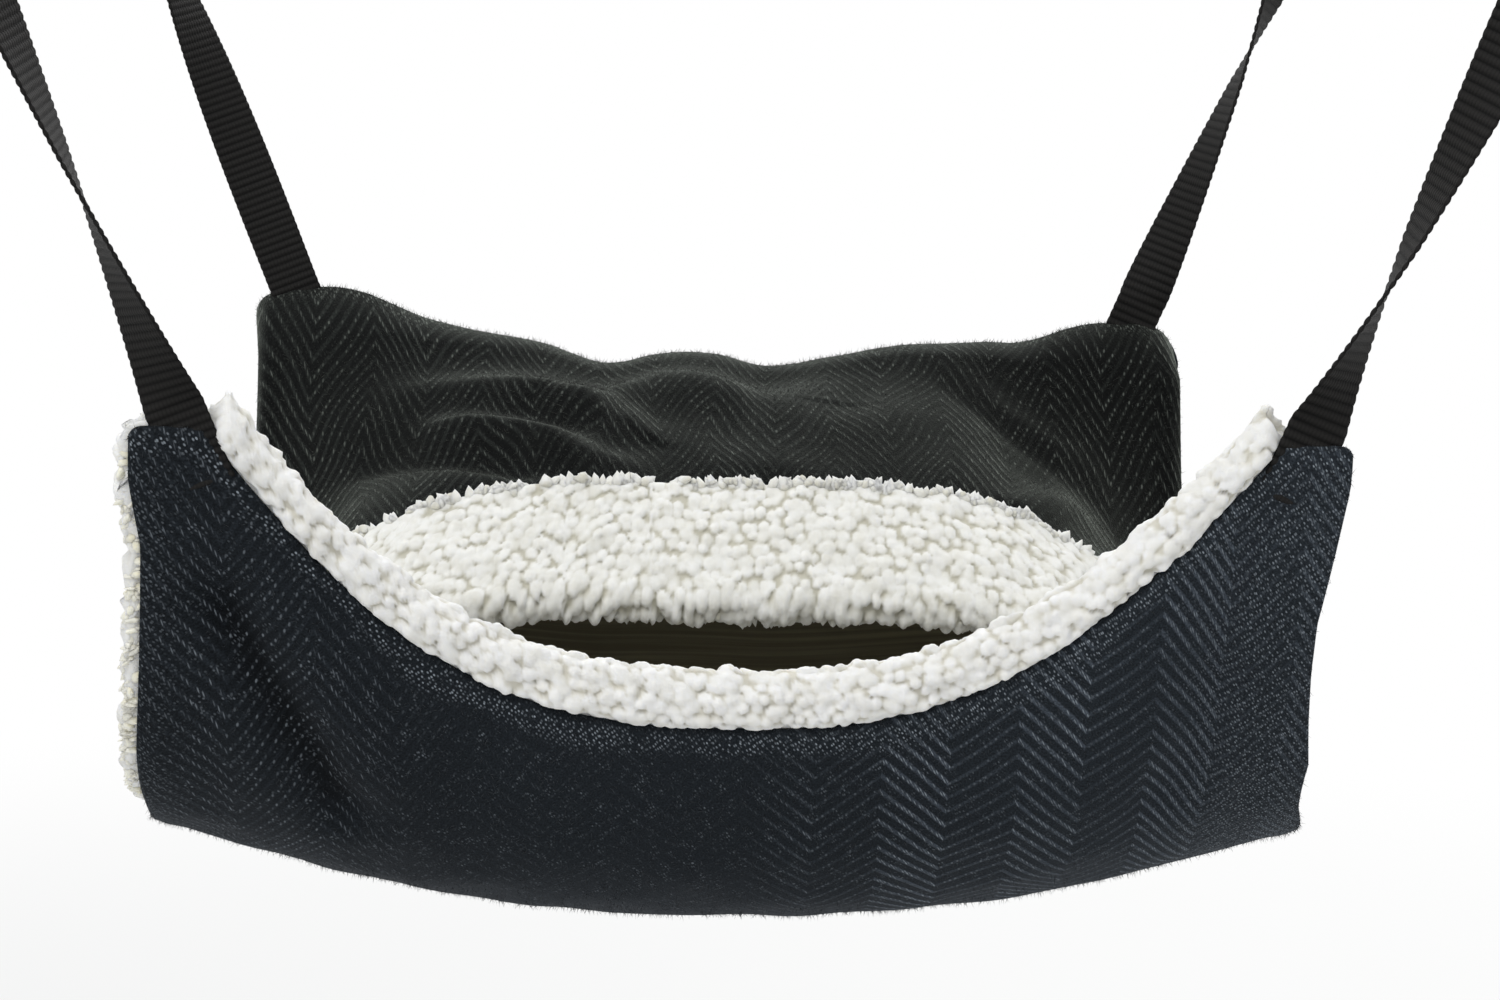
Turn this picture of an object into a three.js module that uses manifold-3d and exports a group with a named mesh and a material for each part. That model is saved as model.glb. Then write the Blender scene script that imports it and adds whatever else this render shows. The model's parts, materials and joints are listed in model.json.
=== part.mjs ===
// A small pocket hammock for a pet: a U-shaped sling of two plies, a cover over its
// back that makes a pocket, four webbing straps and a swivel bolt snap on each strap.
// Millimetres, +Z up, the front faces -Y. The origin is the middle of the four hook seats.

import * as THREE from 'three';
import { mergeVertices } from 'three/addons/utils/BufferGeometryUtils.js';
import Module from 'manifold-3d';

const wasm = await Module();
wasm.setup();

// Driving dimensions: the sling
const sling_width_front = 398;
const sling_width_back = 384;
const sling_bottom_flare = 28;
const sling_depth = 270;
const sling_drop_middle = 198;
const sling_drop_side = 166;
const front_edge_sag = 103;
const front_edge_draw = 10;
const back_edge_sag = 21;
const back_edge_draw = 4;
const back_corner_drop_left = 4;
const back_corner_drop_right = 16;
const back_rise_height = 8;
const back_rise_width = 25;
const back_rise_inset = 42;
const strap_seat_width = 36;
const sling_corner_power = 2.6;
const front_sag_power = 2.5;
const right_sag_ease_share = 0.17;
const back_sag_power = 2;
const drop_power = 2.2;
const flare_power = 3;

// Driving dimensions: the plies
const shell_thickness = 1.8;
const sherpa_thickness = 5.5;
const pocket_floor_thickness = 2;
const ply_gap = 0.35;

// Driving dimensions: the rolled sherpa rim
const rim_height = 19;
const rim_roll_depth = 12;
const rim_overhang = 2.2;
const rim_height_at_strap = 1.2;
const rim_fade_clearance = 4;
const rim_fade_length = 24;

// Driving dimensions: the cover and its turned-back cuff
const cover_side_clearance = 9;
const cover_back_drop = 2.5;
const cover_corner_drop = 12;
const cover_lip_drop = 61;
const cover_slope_power = 2;
const cover_lip_y = -20;
const cover_lip_advance = 42;
const cover_side_depth = 138;
const cover_side_run_share = 0.42;
const cover_vault_power = 3;
const cover_lip_power = 3;
const cuff_width = 52;
const fold_height = 5;
const fold_width = 15;

// Driving dimensions: straps
const webbing_width = 20;
const webbing_thickness = 1.4;
const strap_length = 180;
const strap_lean = THREE.MathUtils.degToRad(21.5);
const strap_splay = THREE.MathUtils.degToRad(5);
const strap_inset_front = 11;
const strap_inset_back = 17;
const strap_tail_length = 22;
const strap_fold_length = 24;
const hinge_height = 6;
const twist_start = 4;
const late_twist_power = 3;

// Driving dimensions: the swivel bolt snap
const eye_wire = 3.2;
const eye_side_clearance = 0.6;
const eye_height = 12;
const swivel_post_diameter = 3.4;
const swivel_head_diameter = 5.8;
const swivel_head_thickness = 1.8;
const swivel_clearance = 0.35;
const collar_diameter = 9.2;
const collar_height = 4;
const hook_mouth_width = 9;
const hook_bar_width = 4.2;
const hook_thickness = 4.6;
const hook_mouth_length = 29;
const hook_seat_radius = 3;
const hook_gate = 8;
const barrel_diameter = 7.2;
const barrel_length = 20;
const bolt_diameter = 3.8;
const bolt_clearance = 0.3;
const bolt_travel = 7.5;
const bolt_guidance = 6.8;
const knob_diameter = 4.6;
const knob_thickness = 1.6;
const knob_stem_diameter = 2;
const spring_wire = 0.6;
const spring_turns = 5;
const seat_clearance = 0.3;

// Mesh helpers
const unit = (x, y, z) => new THREE.Vector3(x, y, z);

function named_mesh(name, geometry, color, roughness, metalness) {
  const material = new THREE.MeshStandardMaterial({ color, roughness, metalness });
  const mesh = new THREE.Mesh(geometry, material);
  mesh.name = name;
  return mesh;
}

function signed_volume(points, triangles) {
  let volume = 0;
  for (let i = 0; i < triangles.length; i += 3) {
    const [a, b, c] = [0, 1, 2].map((k) => points[triangles[i + k]]);
    volume += a.dot(b.clone().cross(c));
  }
  return volume;
}

function mesh_from(points, triangles) {
  const faces = [...triangles];
  if (signed_volume(points, faces) < 0) faces.reverse();
  const geometry = new THREE.BufferGeometry();
  const numbers = points.flatMap((p) => p.toArray());
  geometry.setAttribute('position', new THREE.Float32BufferAttribute(numbers, 3));
  geometry.setIndex(faces);
  return geometry;
}

// A closed body lofted through rings that all hold the same number of points. The two
// halves of a ring split their quads along the same way, so that stacked plies stay apart.
function loft(rings, closed_loop = false) {
  const count = rings[0].length;
  const points = rings.flat();
  const triangles = [];
  const last = closed_loop ? rings.length : rings.length - 1;
  for (let i = 0; i < last; i += 1) {
    for (let j = 0; j < count; j += 1) {
      const a = i * count + j;
      const b = i * count + ((j + 1) % count);
      const c = ((i + 1) % rings.length) * count + j;
      const d = ((i + 1) % rings.length) * count + ((j + 1) % count);
      if (j < count / 2) triangles.push(a, b, d, a, d, c);
      else triangles.push(a, b, c, b, d, c);
    }
  }
  if (closed_loop) return mesh_from(points, triangles);
  for (const [start, turned] of [[0, true], [(rings.length - 1) * count, false]]) {
    const flat = rings[start / count];
    const cap = cap_of(flat).flatMap(([a, b, c]) => (turned ? [c, b, a] : [a, b, c]));
    triangles.push(...cap.map((k) => k + start));
  }
  return mesh_from(points, triangles);
}

// A ring is two lists of equal length, out along one face and back along the other,
// so its cap is the ladder of quads between them.
function cap_of(ring) {
  const rungs = ring.length / 2;
  const faces = [];
  for (let k = 0; k < rungs - 1; k += 1) {
    const back = ring.length - 1 - k;
    faces.push([k, k + 1, back], [k + 1, back - 1, back]);
  }
  return faces;
}

function solid_of(geometry) {
  const bare = geometry.clone();
  bare.deleteAttribute('normal');
  bare.deleteAttribute('uv');
  const merged = mergeVertices(bare);
  return new wasm.Manifold(
    new wasm.Mesh({
      numProp: 3,
      vertProperties: new Float32Array(merged.attributes.position.array),
      triVerts: new Uint32Array(merged.index.array),
    }),
  );
}

function geometry_of(solid) {
  const mesh = solid.getMesh();
  const geometry = new THREE.BufferGeometry();
  geometry.setAttribute('position', new THREE.BufferAttribute(new Float32Array(mesh.vertProperties), 3));
  geometry.setIndex(new THREE.BufferAttribute(new Uint32Array(mesh.triVerts), 1));
  return geometry;
}

const joined = (parts) => geometry_of(parts.map(solid_of).reduce((a, b) => a.add(b)));

function cut(body, cutters) {
  const solids = cutters.map(solid_of);
  return geometry_of(solids.reduce((a, b) => a.subtract(b), solid_of(body)));
}

function rod(diameter, bottom, top, sides = 12) {
  const rod_geometry = new THREE.CylinderGeometry(diameter / 2, diameter / 2, top - bottom, sides);
  rod_geometry.rotateX(Math.PI / 2);
  rod_geometry.translate(0, 0, (top + bottom) / 2);
  return rod_geometry;
}

function block(width, depth, bottom, top) {
  const box = new THREE.BoxGeometry(width, depth, top - bottom);
  box.translate(0, 0, (top + bottom) / 2);
  return box;
}

const mix = (a, b, share) => a + (b - a) * share;
const steps = (count) => Array.from({ length: count + 1 }, (_, k) => k / count);
const power_of = (value, power) => Math.sign(value) * Math.abs(value) ** power;

// Sling: edges as heights and depths across the width, u from -1 at the left to 1
const strap_half_span_front = sling_width_front / 2 - strap_inset_front;
const strap_half_span_back = sling_width_back / 2 - strap_inset_back;
const front_face_y = -sling_depth / 2;
const sag_half_width = sling_width_front / 2 - strap_seat_width / 2;

function front_edge(u) {
  const x = (u * sling_width_front) / 2;
  const reach = Math.min(1, Math.abs(x) / sag_half_width);
  const ease = 1 - right_sag_ease_share * Math.max(0, u) ** 2;
  const sag = (1 - reach ** front_sag_power) * ease;
  return unit(x, front_face_y + front_edge_draw * (1 - u * u), -front_edge_sag * sag);
}

// The back edge stands up in a soft roll beside its left strap and is rounded off past
// both straps.
function back_rise(x) {
  const gap = (x + sling_width_back / 2 - back_rise_inset) / back_rise_width;
  return back_rise_height * Math.exp(-(gap ** 2));
}

function back_edge(u) {
  const x = (u * sling_width_back) / 2;
  const sag = 1 - Math.min(1, Math.abs(x) / strap_half_span_back) ** back_sag_power;
  const past_strap = Math.max(0, Math.abs(x) - strap_half_span_back) / strap_inset_back;
  const corner_drop = u > 0 ? back_corner_drop_right : back_corner_drop_left;
  const height = back_rise(x) - back_edge_sag * sag - corner_drop * past_strap ** 2;
  return unit(x, -front_face_y - back_edge_draw * (1 - u * u), height);
}

const sling_bottom = (u) => -mix(sling_drop_middle, sling_drop_side, Math.abs(u) ** drop_power);

// The outer face of the sling: t runs from the front edge (0) under to the back edge (1)
function sling_face(u, t) {
  const edge = t < 0.5 ? front_edge(u) : back_edge(u);
  const angle = Math.PI * t;
  const flare = sling_bottom_flare * Math.sin(angle) ** flare_power;
  const width = mix(sling_width_front, sling_width_back, t) + flare;
  const along = power_of(Math.cos(angle), 2 / sling_corner_power);
  const down = power_of(Math.sin(angle), 2 / sling_corner_power);
  return unit((u * width) / 2, Math.abs(edge.y) * -along, mix(edge.z, sling_bottom(u), down));
}

// A point at a distance from a face, along its normal
const slope_step_share = 0.002;

function lifted(face, u, t, distance) {
  const inside = (v, low) => Math.min(1 - slope_step_share, Math.max(low + slope_step_share, v));
  const [cu, ct] = [inside(u, -1), inside(t, 0)];
  const across = face(cu + slope_step_share, ct).sub(face(cu - slope_step_share, ct));
  const along = face(cu, ct + slope_step_share).sub(face(cu, ct - slope_step_share));
  const normal = along.cross(across).normalize();
  return face(u, t).addScaledVector(normal, distance);
}

// That normal points out of the U, so a depth into the U is a negative distance.
const sling_inside = (u, t, depth) => lifted(sling_face, u, t, -depth);

function sheet(columns, ring_at) {
  return loft(steps(columns).map((share) => ring_at(2 * share - 1)));
}

const cloth_columns = 22;
const sling_rows = 16;

// All plies of the sling share their rows, so that their flat facets run side by side.
const sling_path = (first, last) => steps(sling_rows).filter((t) => t >= first && t <= last);

function sling_ply(depth, thickness, path, start_share = 0) {
  return sheet(cloth_columns, (u) => {
    const line = (reach) => {
      const points = path.map((t) => sling_inside(u, t, reach));
      points[0].lerp(points[1], start_share);
      return points;
    };
    return [...line(depth), ...line(depth + thickness).reverse()];
  });
}

const inner_depth = shell_thickness + ply_gap;
const lining_end_share = 5 / sling_rows;
const lining_gap_share = 0.03;

// Straps: where each one leaves the seam, the frame that it stands in, and its twist: the
// whole turn in degrees and the share of it, by height, at which the strap stands edge on
const corners = [
  { name: 'front_left', side: -1, end: -1, half_span: strap_half_span_front, turn: -122, edge_on_share: 0.6 },
  { name: 'front_right', side: 1, end: -1, half_span: strap_half_span_front, turn: 160, edge_on_share: 0.45 },
  { name: 'back_left', side: -1, end: 1, half_span: strap_half_span_back, turn: 88, edge_on_share: 1.1 },
  { name: 'back_right', side: 1, end: 1, half_span: strap_half_span_back, turn: -146, edge_on_share: 0.65 },
];

const strap_depth = sling_depth / 2 - inner_depth - webbing_thickness / 2;

function corner_frame(corner) {
  const flat = unit(corner.side * Math.sin(strap_lean), 0, Math.cos(strap_lean));
  const across = unit(Math.cos(strap_lean), 0, -corner.side * Math.sin(strap_lean));
  const splay = unit(0, corner.end * Math.sin(strap_splay), 0);
  const up = flat.clone().multiplyScalar(Math.cos(strap_splay)).add(splay);
  const hinge = unit(corner.side * corner.half_span, corner.end * strap_depth, hinge_height);
  return { hinge, across, up, flat };
}

function basis(across, up, origin) {
  const facing = up.clone().cross(across);
  return new THREE.Matrix4().makeBasis(across, facing, up).setPosition(origin);
}

// The strap's lower end is a half round on the hinge line, so the tail stops below it.
const tail_top = -webbing_thickness / 2 - seat_clearance;

function tail_block(corner, spare) {
  const frame = corner_frame(corner);
  const bottom = -hinge_height - strap_tail_length - spare;
  const tail = block(webbing_width + 2 * spare, webbing_thickness + 2 * spare, bottom, tail_top + spare);
  return tail.applyMatrix4(basis(frame.across, frame.flat, frame.hinge));
}

// The sherpa lining with its roll over the front edge
const roll_shares = [
  { up: 1, out: -1.5, back: 0.5 },
  { up: 0.76, out: 0.35, back: 0.74 },
  { up: 0.38, out: 1, back: 0.86 },
  { up: 0.04, out: 0.3, back: 0.72 },
];
const roll_fade_end = strap_half_span_front - webbing_width / 2 - rim_fade_clearance;
const roll_fade_start = roll_fade_end - rim_fade_length;

function rim_ring(u) {
  const edge = front_edge(u);
  const fade = 1 - THREE.MathUtils.smoothstep(Math.abs(edge.x), roll_fade_start, roll_fade_end);
  const height = mix(rim_height_at_strap, rim_height, fade);
  const behind_strap = inner_depth + webbing_thickness + 2 * ply_gap;
  const outer = [];
  const inner = [];
  for (const roll of roll_shares) {
    const out = mix(-behind_strap, rim_overhang * roll.out, fade);
    const back = mix(behind_strap + sherpa_thickness * roll.back, rim_roll_depth * roll.back, fade);
    const top = edge.z + ply_gap + height * roll.up;
    outer.push(unit(edge.x, edge.y - out, top));
    inner.push(unit(edge.x, edge.y + back, top));
  }
  for (const t of sling_path(0, lining_end_share)) {
    outer.push(sling_inside(u, t, inner_depth));
    inner.push(sling_inside(u, t, inner_depth + sherpa_thickness));
  }
  return [...outer, ...inner.reverse()];
}

// The cover: a vault over the pocket, from the back edge to the fold of its lip
const cover_width = sling_width_back - 2 * cover_side_clearance;
const cover_total = shell_thickness + 2 * ply_gap + sherpa_thickness;
const cover_set_back = inner_depth + pocket_floor_thickness + 2 * ply_gap;
const cover_tuck_rate = 4;

// Soft folds in the cover, each as its two ends and its height, in shares of the
// cover's half width, of the sling's half depth and of the fold height
const fold_shares = [
  { from: [-0.94, 0.33], to: [-0.28, 0.2], height: 1 },
  { from: [-0.94, 0.47], to: [-0.35, 0.7], height: 0.7 },
  { from: [0.52, 0.95], to: [0.8, -0.05], height: -0.8 },
  { from: [-0.12, 0.98], to: [-0.05, 0.5], height: 0.6 },
];

function folds_at(x, y) {
  let total = 0;
  for (const fold of fold_shares) {
    const from = new THREE.Vector2((fold.from[0] * cover_width) / 2, (fold.from[1] * sling_depth) / 2);
    const to = new THREE.Vector2((fold.to[0] * cover_width) / 2, (fold.to[1] * sling_depth) / 2);
    const line = to.clone().sub(from);
    const point = new THREE.Vector2(x, y).sub(from);
    const share = THREE.MathUtils.clamp(point.dot(line) / line.lengthSq(), 0, 1);
    const gap = point.addScaledVector(line, -share).length();
    total += fold.height * fold_height * Math.exp(-((gap / fold_width) ** 2));
  }
  return total;
}

function cover_face(u, t) {
  const x = (u * cover_width) / 2;
  const bend = Math.abs(u) ** cover_vault_power;
  const lip_y = cover_lip_y - cover_lip_advance * Math.abs(u) ** cover_lip_power;
  const tuck = cover_total * Math.min(1, cover_tuck_rate * bend);
  const y = mix(back_edge(u).y - cover_set_back - tuck, lip_y, t);
  const side_share = Math.sin((Math.PI / 2) * Math.min(1, t / cover_side_run_share));
  const side_z = -mix(cover_corner_drop, cover_side_depth, side_share);
  const top_z = back_edge(u).z - cover_back_drop - cover_lip_drop * t ** cover_slope_power;
  const calm = Math.sin(Math.PI * t) * (1 - bend);
  return unit(x, y, mix(top_z, side_z, bend) + folds_at(x, y) * calm);
}

const cover_lifted = (u, t, height) => lifted(cover_face, u, t, height);
const cover_rows_share = [0, 0.08, 0.17, 0.27, 0.37, 0.48, 0.6, 0.72, 0.82, 0.91, 1];
const lip_wrap_angles = [-60, -20, 20, 60];
const wrap_turns = lip_wrap_angles.map((degrees) => THREE.MathUtils.degToRad(degrees));
const cuff_rows = 4;

function cuff_start(u) {
  const lip = cover_face(u, 1);
  let share = 1;
  let width = 0;
  let last = lip;
  const small_step_share = 0.01;
  while (width < cuff_width && share > small_step_share) {
    share -= small_step_share;
    const next = cover_face(u, share);
    width += next.distanceTo(last);
    last = next;
  }
  return share;
}

// One ply of the cover: along under the fold, round the lip, and back over as the cuff
function cover_ring(u, near, far) {
  const wrapped = (radius) => {
    const lip = cover_face(u, 1);
    const above = cover_lifted(u, 1, 1).sub(lip).normalize();
    const ahead = lip.clone().sub(cover_face(u, 1 - slope_step_share));
    ahead.addScaledVector(above, -ahead.dot(above)).normalize();
    const place = (turn) => {
      const [out, rise] = [radius * Math.cos(turn), radius * Math.sin(turn)];
      return lip.clone().addScaledVector(ahead, out).addScaledVector(above, rise);
    };
    return wrap_turns.map(place);
  };
  const cuff_path = steps(cuff_rows).map((share) => mix(1, cuff_start(u), share));
  const line = (height) => [
    ...cover_rows_share.map((t) => cover_lifted(u, t, -height)),
    ...wrapped(height),
    ...cuff_path.map((t) => cover_lifted(u, t, height)),
  ];
  return [...line(near), ...line(far).reverse()];
}

const slit = ply_gap / 2;
const shell_far = slit + shell_thickness;
const lining_near = shell_far + ply_gap;

// Webbing strap in its own frame: Z along the strap from the hinge, X across
const bar_radius = eye_wire / 2;
const loop_radius = bar_radius + ply_gap + webbing_thickness / 2;
const ply_offset = webbing_thickness / 2 + ply_gap / 2;
const loop_neck = loop_radius * 2;
const loop_throat = loop_radius * 2.4;
const turn_end = strap_length - strap_fold_length - loop_neck;
// The strap's lower edge is rounded, so that it clears the seam as it swings.
const edge_stations = [
  { z: -webbing_thickness * 0.48, off: 0, half: webbing_thickness * 0.1 },
  { z: -webbing_thickness * 0.3, off: 0, half: webbing_thickness * 0.38 },
];
const strap_stations = 22;
const loop_stations = 10;
const loop_overrun = 0.2;

// A twisted strap narrows evenly to the height where it stands edge on, then widens evenly.
// The strap that never stands edge on keeps its width for longer.
function strap_turn(corner, height) {
  const z = THREE.MathUtils.clamp(height, 0, turn_end);
  const whole = THREE.MathUtils.degToRad(Math.abs(corner.turn));
  const start = Math.hypot(z, twist_start) - twist_start;
  const edge_on = corner.edge_on_share * turn_end;
  let width_share = 1 - start / (Math.hypot(edge_on, twist_start) - twist_start);
  if (edge_on > turn_end) width_share = 1 - (1 - Math.cos(whole)) * (z / turn_end) ** late_twist_power;
  else if (z > edge_on) width_share = (Math.cos(whole) * (z - edge_on)) / (turn_end - edge_on);
  return Math.sign(corner.turn) * Math.acos(width_share);
}

function webbing_path() {
  const path = [...edge_stations];
  for (const share of steps(strap_stations)) path.push({ z: share * turn_end, off: 0 });
  path.push({ z: turn_end + loop_neck, off: ply_offset });
  path.push({ z: strap_length - loop_throat, off: ply_offset });
  for (const share of steps(loop_stations)) {
    const angle = mix(-loop_overrun, Math.PI + loop_overrun, share);
    path.push({ z: strap_length + loop_radius * Math.sin(angle), off: loop_radius * Math.cos(angle) });
  }
  path.push({ z: strap_length - loop_throat, off: -ply_offset });
  path.push({ z: strap_length - strap_fold_length, off: -ply_offset });
  return path;
}

function strap_geometry(corner) {
  const path = webbing_path();
  const rings = path.map((here, k) => {
    const before = path[Math.max(0, k - 1)];
    const after = path[Math.min(path.length - 1, k + 1)];
    const run = new THREE.Vector2(after.z - before.z, after.off - before.off).normalize();
    const half = here.half ?? webbing_thickness / 2;
    const point_at = (x, face) => {
      const off = here.off + face * half * run.x;
      const z = here.z - face * half * run.y;
      const turn = strap_turn(corner, z);
      const [c, s] = [Math.cos(turn), Math.sin(turn)];
      return unit(x * c - off * s, x * s + off * c, z);
    };
    const across = [-webbing_width / 2, 0, webbing_width / 2];
    const face_line = (face) => across.map((x) => point_at(x, face));
    return [...face_line(1), ...face_line(-1).reverse()];
  });
  return loft(rings);
}

// Swivel eye: a closed D of wire with a boss, a post and a riveted head
const eye_half_width = webbing_width / 2 + eye_side_clearance + eye_wire / 2;
const eye_corner_share = 0.5;
const eye_bar_stations = 4;
const eye_arch_stations = 12;
const eye_sides = 8;
// Powers under 1 make the wire's arch squarer than a half ellipse.
const eye_arch_across_power = 0.7;
const eye_arch_up_power = 0.9;
const boss_bottom = eye_height - eye_wire / 2;
const boss_top = eye_height + eye_wire / 2 + seat_clearance;
const collar_bottom = boss_top + swivel_clearance;
const window_bottom = collar_bottom + collar_height;
const head_bottom = window_bottom + swivel_clearance;
const head_top = head_bottom + swivel_head_thickness;
const window_top = head_top + swivel_clearance;
const boss_diameter = eye_wire * 2;

function eye_points() {
  const corner_radius = eye_wire * eye_corner_share;
  const points = [];
  for (const share of steps(eye_bar_stations)) {
    points.push(unit(mix(-1, 1, share) * (eye_half_width - corner_radius), 0, 0));
  }
  for (const share of steps(eye_arch_stations)) {
    const angle = Math.PI * share;
    const x = eye_half_width * power_of(Math.cos(angle), eye_arch_across_power);
    const up_share = power_of(Math.sin(angle), eye_arch_up_power);
    points.push(unit(x, 0, mix(corner_radius, eye_height, up_share)));
  }
  return points;
}

function eye_geometry() {
  const points = eye_points();
  const rings = points.map((here, k) => {
    const before = points[(k + points.length - 1) % points.length];
    const after = points[(k + 1) % points.length];
    const run = after.clone().sub(before).normalize();
    const outward = unit(run.z, 0, -run.x);
    return Array.from({ length: eye_sides }, (_, s) => {
      const angle = (2 * Math.PI * (s + 0.5)) / eye_sides;
      return here
        .clone()
        .addScaledVector(outward, (eye_wire / 2) * Math.cos(angle))
        .add(unit(0, (eye_wire / 2) * Math.sin(angle), 0));
    });
  });
  return joined([
    loft(rings, true),
    rod(boss_diameter, boss_bottom, boss_top),
    rod(swivel_post_diameter, boss_bottom, head_top),
    rod(swivel_head_diameter, head_bottom, head_top),
  ]);
}

// Snap body: base, barrel and hook, all in the frame of the strap's eye
const hook_base_bottom = window_top;
const mouth_bottom = hook_base_bottom + hook_bar_width / 2;
const seat_height = mouth_bottom + hook_mouth_length;
const hook_outer = hook_mouth_width / 2 + hook_bar_width;
const barrel_x = hook_mouth_width / 2 + hook_bar_width / 2;
const barrel_bottom = hook_base_bottom - hook_bar_width / 2;
const barrel_top = barrel_bottom + barrel_length;
const tip_bottom = barrel_top + hook_gate;
const bore_bottom = barrel_bottom + bolt_diameter / 2;
const bore_diameter = bolt_diameter + 2 * bolt_clearance;
const bolt_top = tip_bottom - seat_clearance;
const bolt_bottom = barrel_top - bolt_guidance;
const knob_z = bolt_bottom + knob_stem_diameter * 1.4;
const hook_crown = hook_bar_width * 1.05;
const hook_bevel = hook_thickness / 8;

function hook_outline() {
  const inner = hook_mouth_width / 2;
  const corner = hook_seat_radius;
  const top = seat_height + hook_crown;
  const shape = new THREE.Shape();
  shape.moveTo(-collar_diameter / 2, window_bottom);
  shape.lineTo(-hook_outer, hook_base_bottom);
  shape.lineTo(-hook_outer, seat_height - inner);
  shape.bezierCurveTo(-hook_outer, top, -inner, top, 0, top);
  shape.bezierCurveTo(inner, top, hook_outer, top, hook_outer, seat_height - inner);
  shape.lineTo(hook_outer, tip_bottom);
  shape.lineTo(inner, tip_bottom);
  shape.lineTo(inner, seat_height - corner);
  shape.absarc(inner - corner, seat_height - corner, corner, 0, Math.PI / 2, false);
  shape.absarc(corner - inner, seat_height - corner, corner, Math.PI / 2, Math.PI, false);
  shape.lineTo(-inner, mouth_bottom + corner);
  shape.absarc(corner - inner, mouth_bottom + corner, corner, Math.PI, Math.PI * 1.5, false);
  shape.lineTo(barrel_x, mouth_bottom);
  shape.lineTo(barrel_x + barrel_diameter / 2, hook_base_bottom);
  shape.lineTo(collar_diameter / 2, window_bottom);
  return shape;
}

function snap_body_geometry() {
  const plate = new THREE.ExtrudeGeometry(hook_outline(), {
    depth: hook_thickness - 2 * hook_bevel,
    bevelEnabled: true,
    bevelThickness: hook_bevel,
    bevelSize: hook_bevel,
    bevelOffset: -hook_bevel,
    bevelSegments: 1,
    curveSegments: 3,
  });
  plate.translate(0, 0, hook_bevel - hook_thickness / 2);
  plate.rotateX(Math.PI / 2);
  const barrel = rod(barrel_diameter, barrel_bottom, barrel_top);
  const bore = rod(bore_diameter, bore_bottom, barrel_top + hook_gate / 2, 12);
  const slot_width = knob_stem_diameter + 2 * bolt_clearance;
  const slot_bottom = knob_z - bolt_travel - slot_width;
  const slot = block(barrel_diameter, slot_width, slot_bottom, knob_z + slot_width);
  slot.translate(barrel_diameter / 2, 0, 0);
  for (const part of [barrel, bore, slot]) part.translate(barrel_x, 0, 0);
  const collar = rod(collar_diameter, collar_bottom, window_bottom + hook_bar_width / 4);
  const body = joined([plate, barrel, collar]);
  const window_width = swivel_head_diameter + 2 * swivel_clearance;
  return cut(body, [
    bore,
    slot,
    block(window_width, collar_diameter * 2, window_bottom, window_top),
    rod(swivel_post_diameter + 2 * swivel_clearance, collar_bottom - seat_clearance, window_top, 12),
  ]);
}

function bolt_geometry() {
  const stem_end = barrel_diameter / 2 + seat_clearance;
  const stem = rod(knob_stem_diameter, 0, stem_end + knob_thickness / 2, 8);
  const knob = rod(knob_diameter, stem_end, stem_end + knob_thickness, 12);
  for (const part of [stem, knob]) {
    part.rotateY(Math.PI / 2);
    part.translate(barrel_x, 0, knob_z);
  }
  const pin = rod(bolt_diameter, bolt_bottom, bolt_top, 12);
  pin.translate(barrel_x, 0, 0);
  return joined([pin, stem, knob]);
}

class Coil extends THREE.Curve {
  getPoint(share, target = new THREE.Vector3()) {
    const angle = 2 * Math.PI * spring_turns * share;
    const radius = bolt_diameter / 2 - spring_wire / 2;
    const low = bore_bottom + spring_wire / 2 + seat_clearance;
    const high = bolt_bottom - spring_wire / 2 - seat_clearance;
    const [x, y] = [radius * Math.cos(angle), radius * Math.sin(angle)];
    return target.set(barrel_x + x, y, mix(low, high, share));
  }
}

function spring_geometry() {
  const section = new THREE.Shape();
  section.absarc(0, 0, spring_wire / 2, 0, 2 * Math.PI, false);
  return new THREE.ExtrudeGeometry(section, {
    steps: spring_turns * 8,
    bevelEnabled: false,
    curveSegments: 3,
    extrudePath: new Coil(),
  });
}

// Assembly, in the frame of the level plane through the cloth's corners
const hammock = new THREE.Group();
const seat_rise = (strap_length + seat_height) * Math.cos(strap_lean) * Math.cos(strap_splay);
hammock.position.z = -hinge_height - seat_rise;

const tail_pockets = corners.map((corner) => tail_block(corner, ply_gap));
const front_pockets = tail_pockets.slice(0, 2);
const back_pockets = tail_pockets.slice(2);

const dark_weave = { color: 0x22272d, roughness: 0.95 };
const sherpa_cloth = { color: 0xece9de, roughness: 1 };

function add_cloth(name, geometry, cloth) {
  hammock.add(named_mesh(name, geometry, cloth.color, cloth.roughness, 0));
}

const whole_shell = sling_ply(0, shell_thickness, sling_path(0, 1));
add_cloth('sling_shell', cut(whole_shell, tail_pockets), dark_weave);
add_cloth('rim_lining', cut(sheet(cloth_columns, rim_ring), front_pockets), sherpa_cloth);
const floor_path = sling_path(lining_end_share, 1);
const floor_ply = sling_ply(inner_depth, pocket_floor_thickness, floor_path, lining_gap_share);
add_cloth('pocket_floor', cut(floor_ply, back_pockets), { color: 0x23211b, roughness: 0.7 });
const cover_ply = (near, far) => sheet(cloth_columns, (u) => cover_ring(u, near, far));
add_cloth('cover_shell', cover_ply(slit, shell_far), dark_weave);
add_cloth('cover_lining', cover_ply(lining_near, lining_near + sherpa_thickness), sherpa_cloth);

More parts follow.
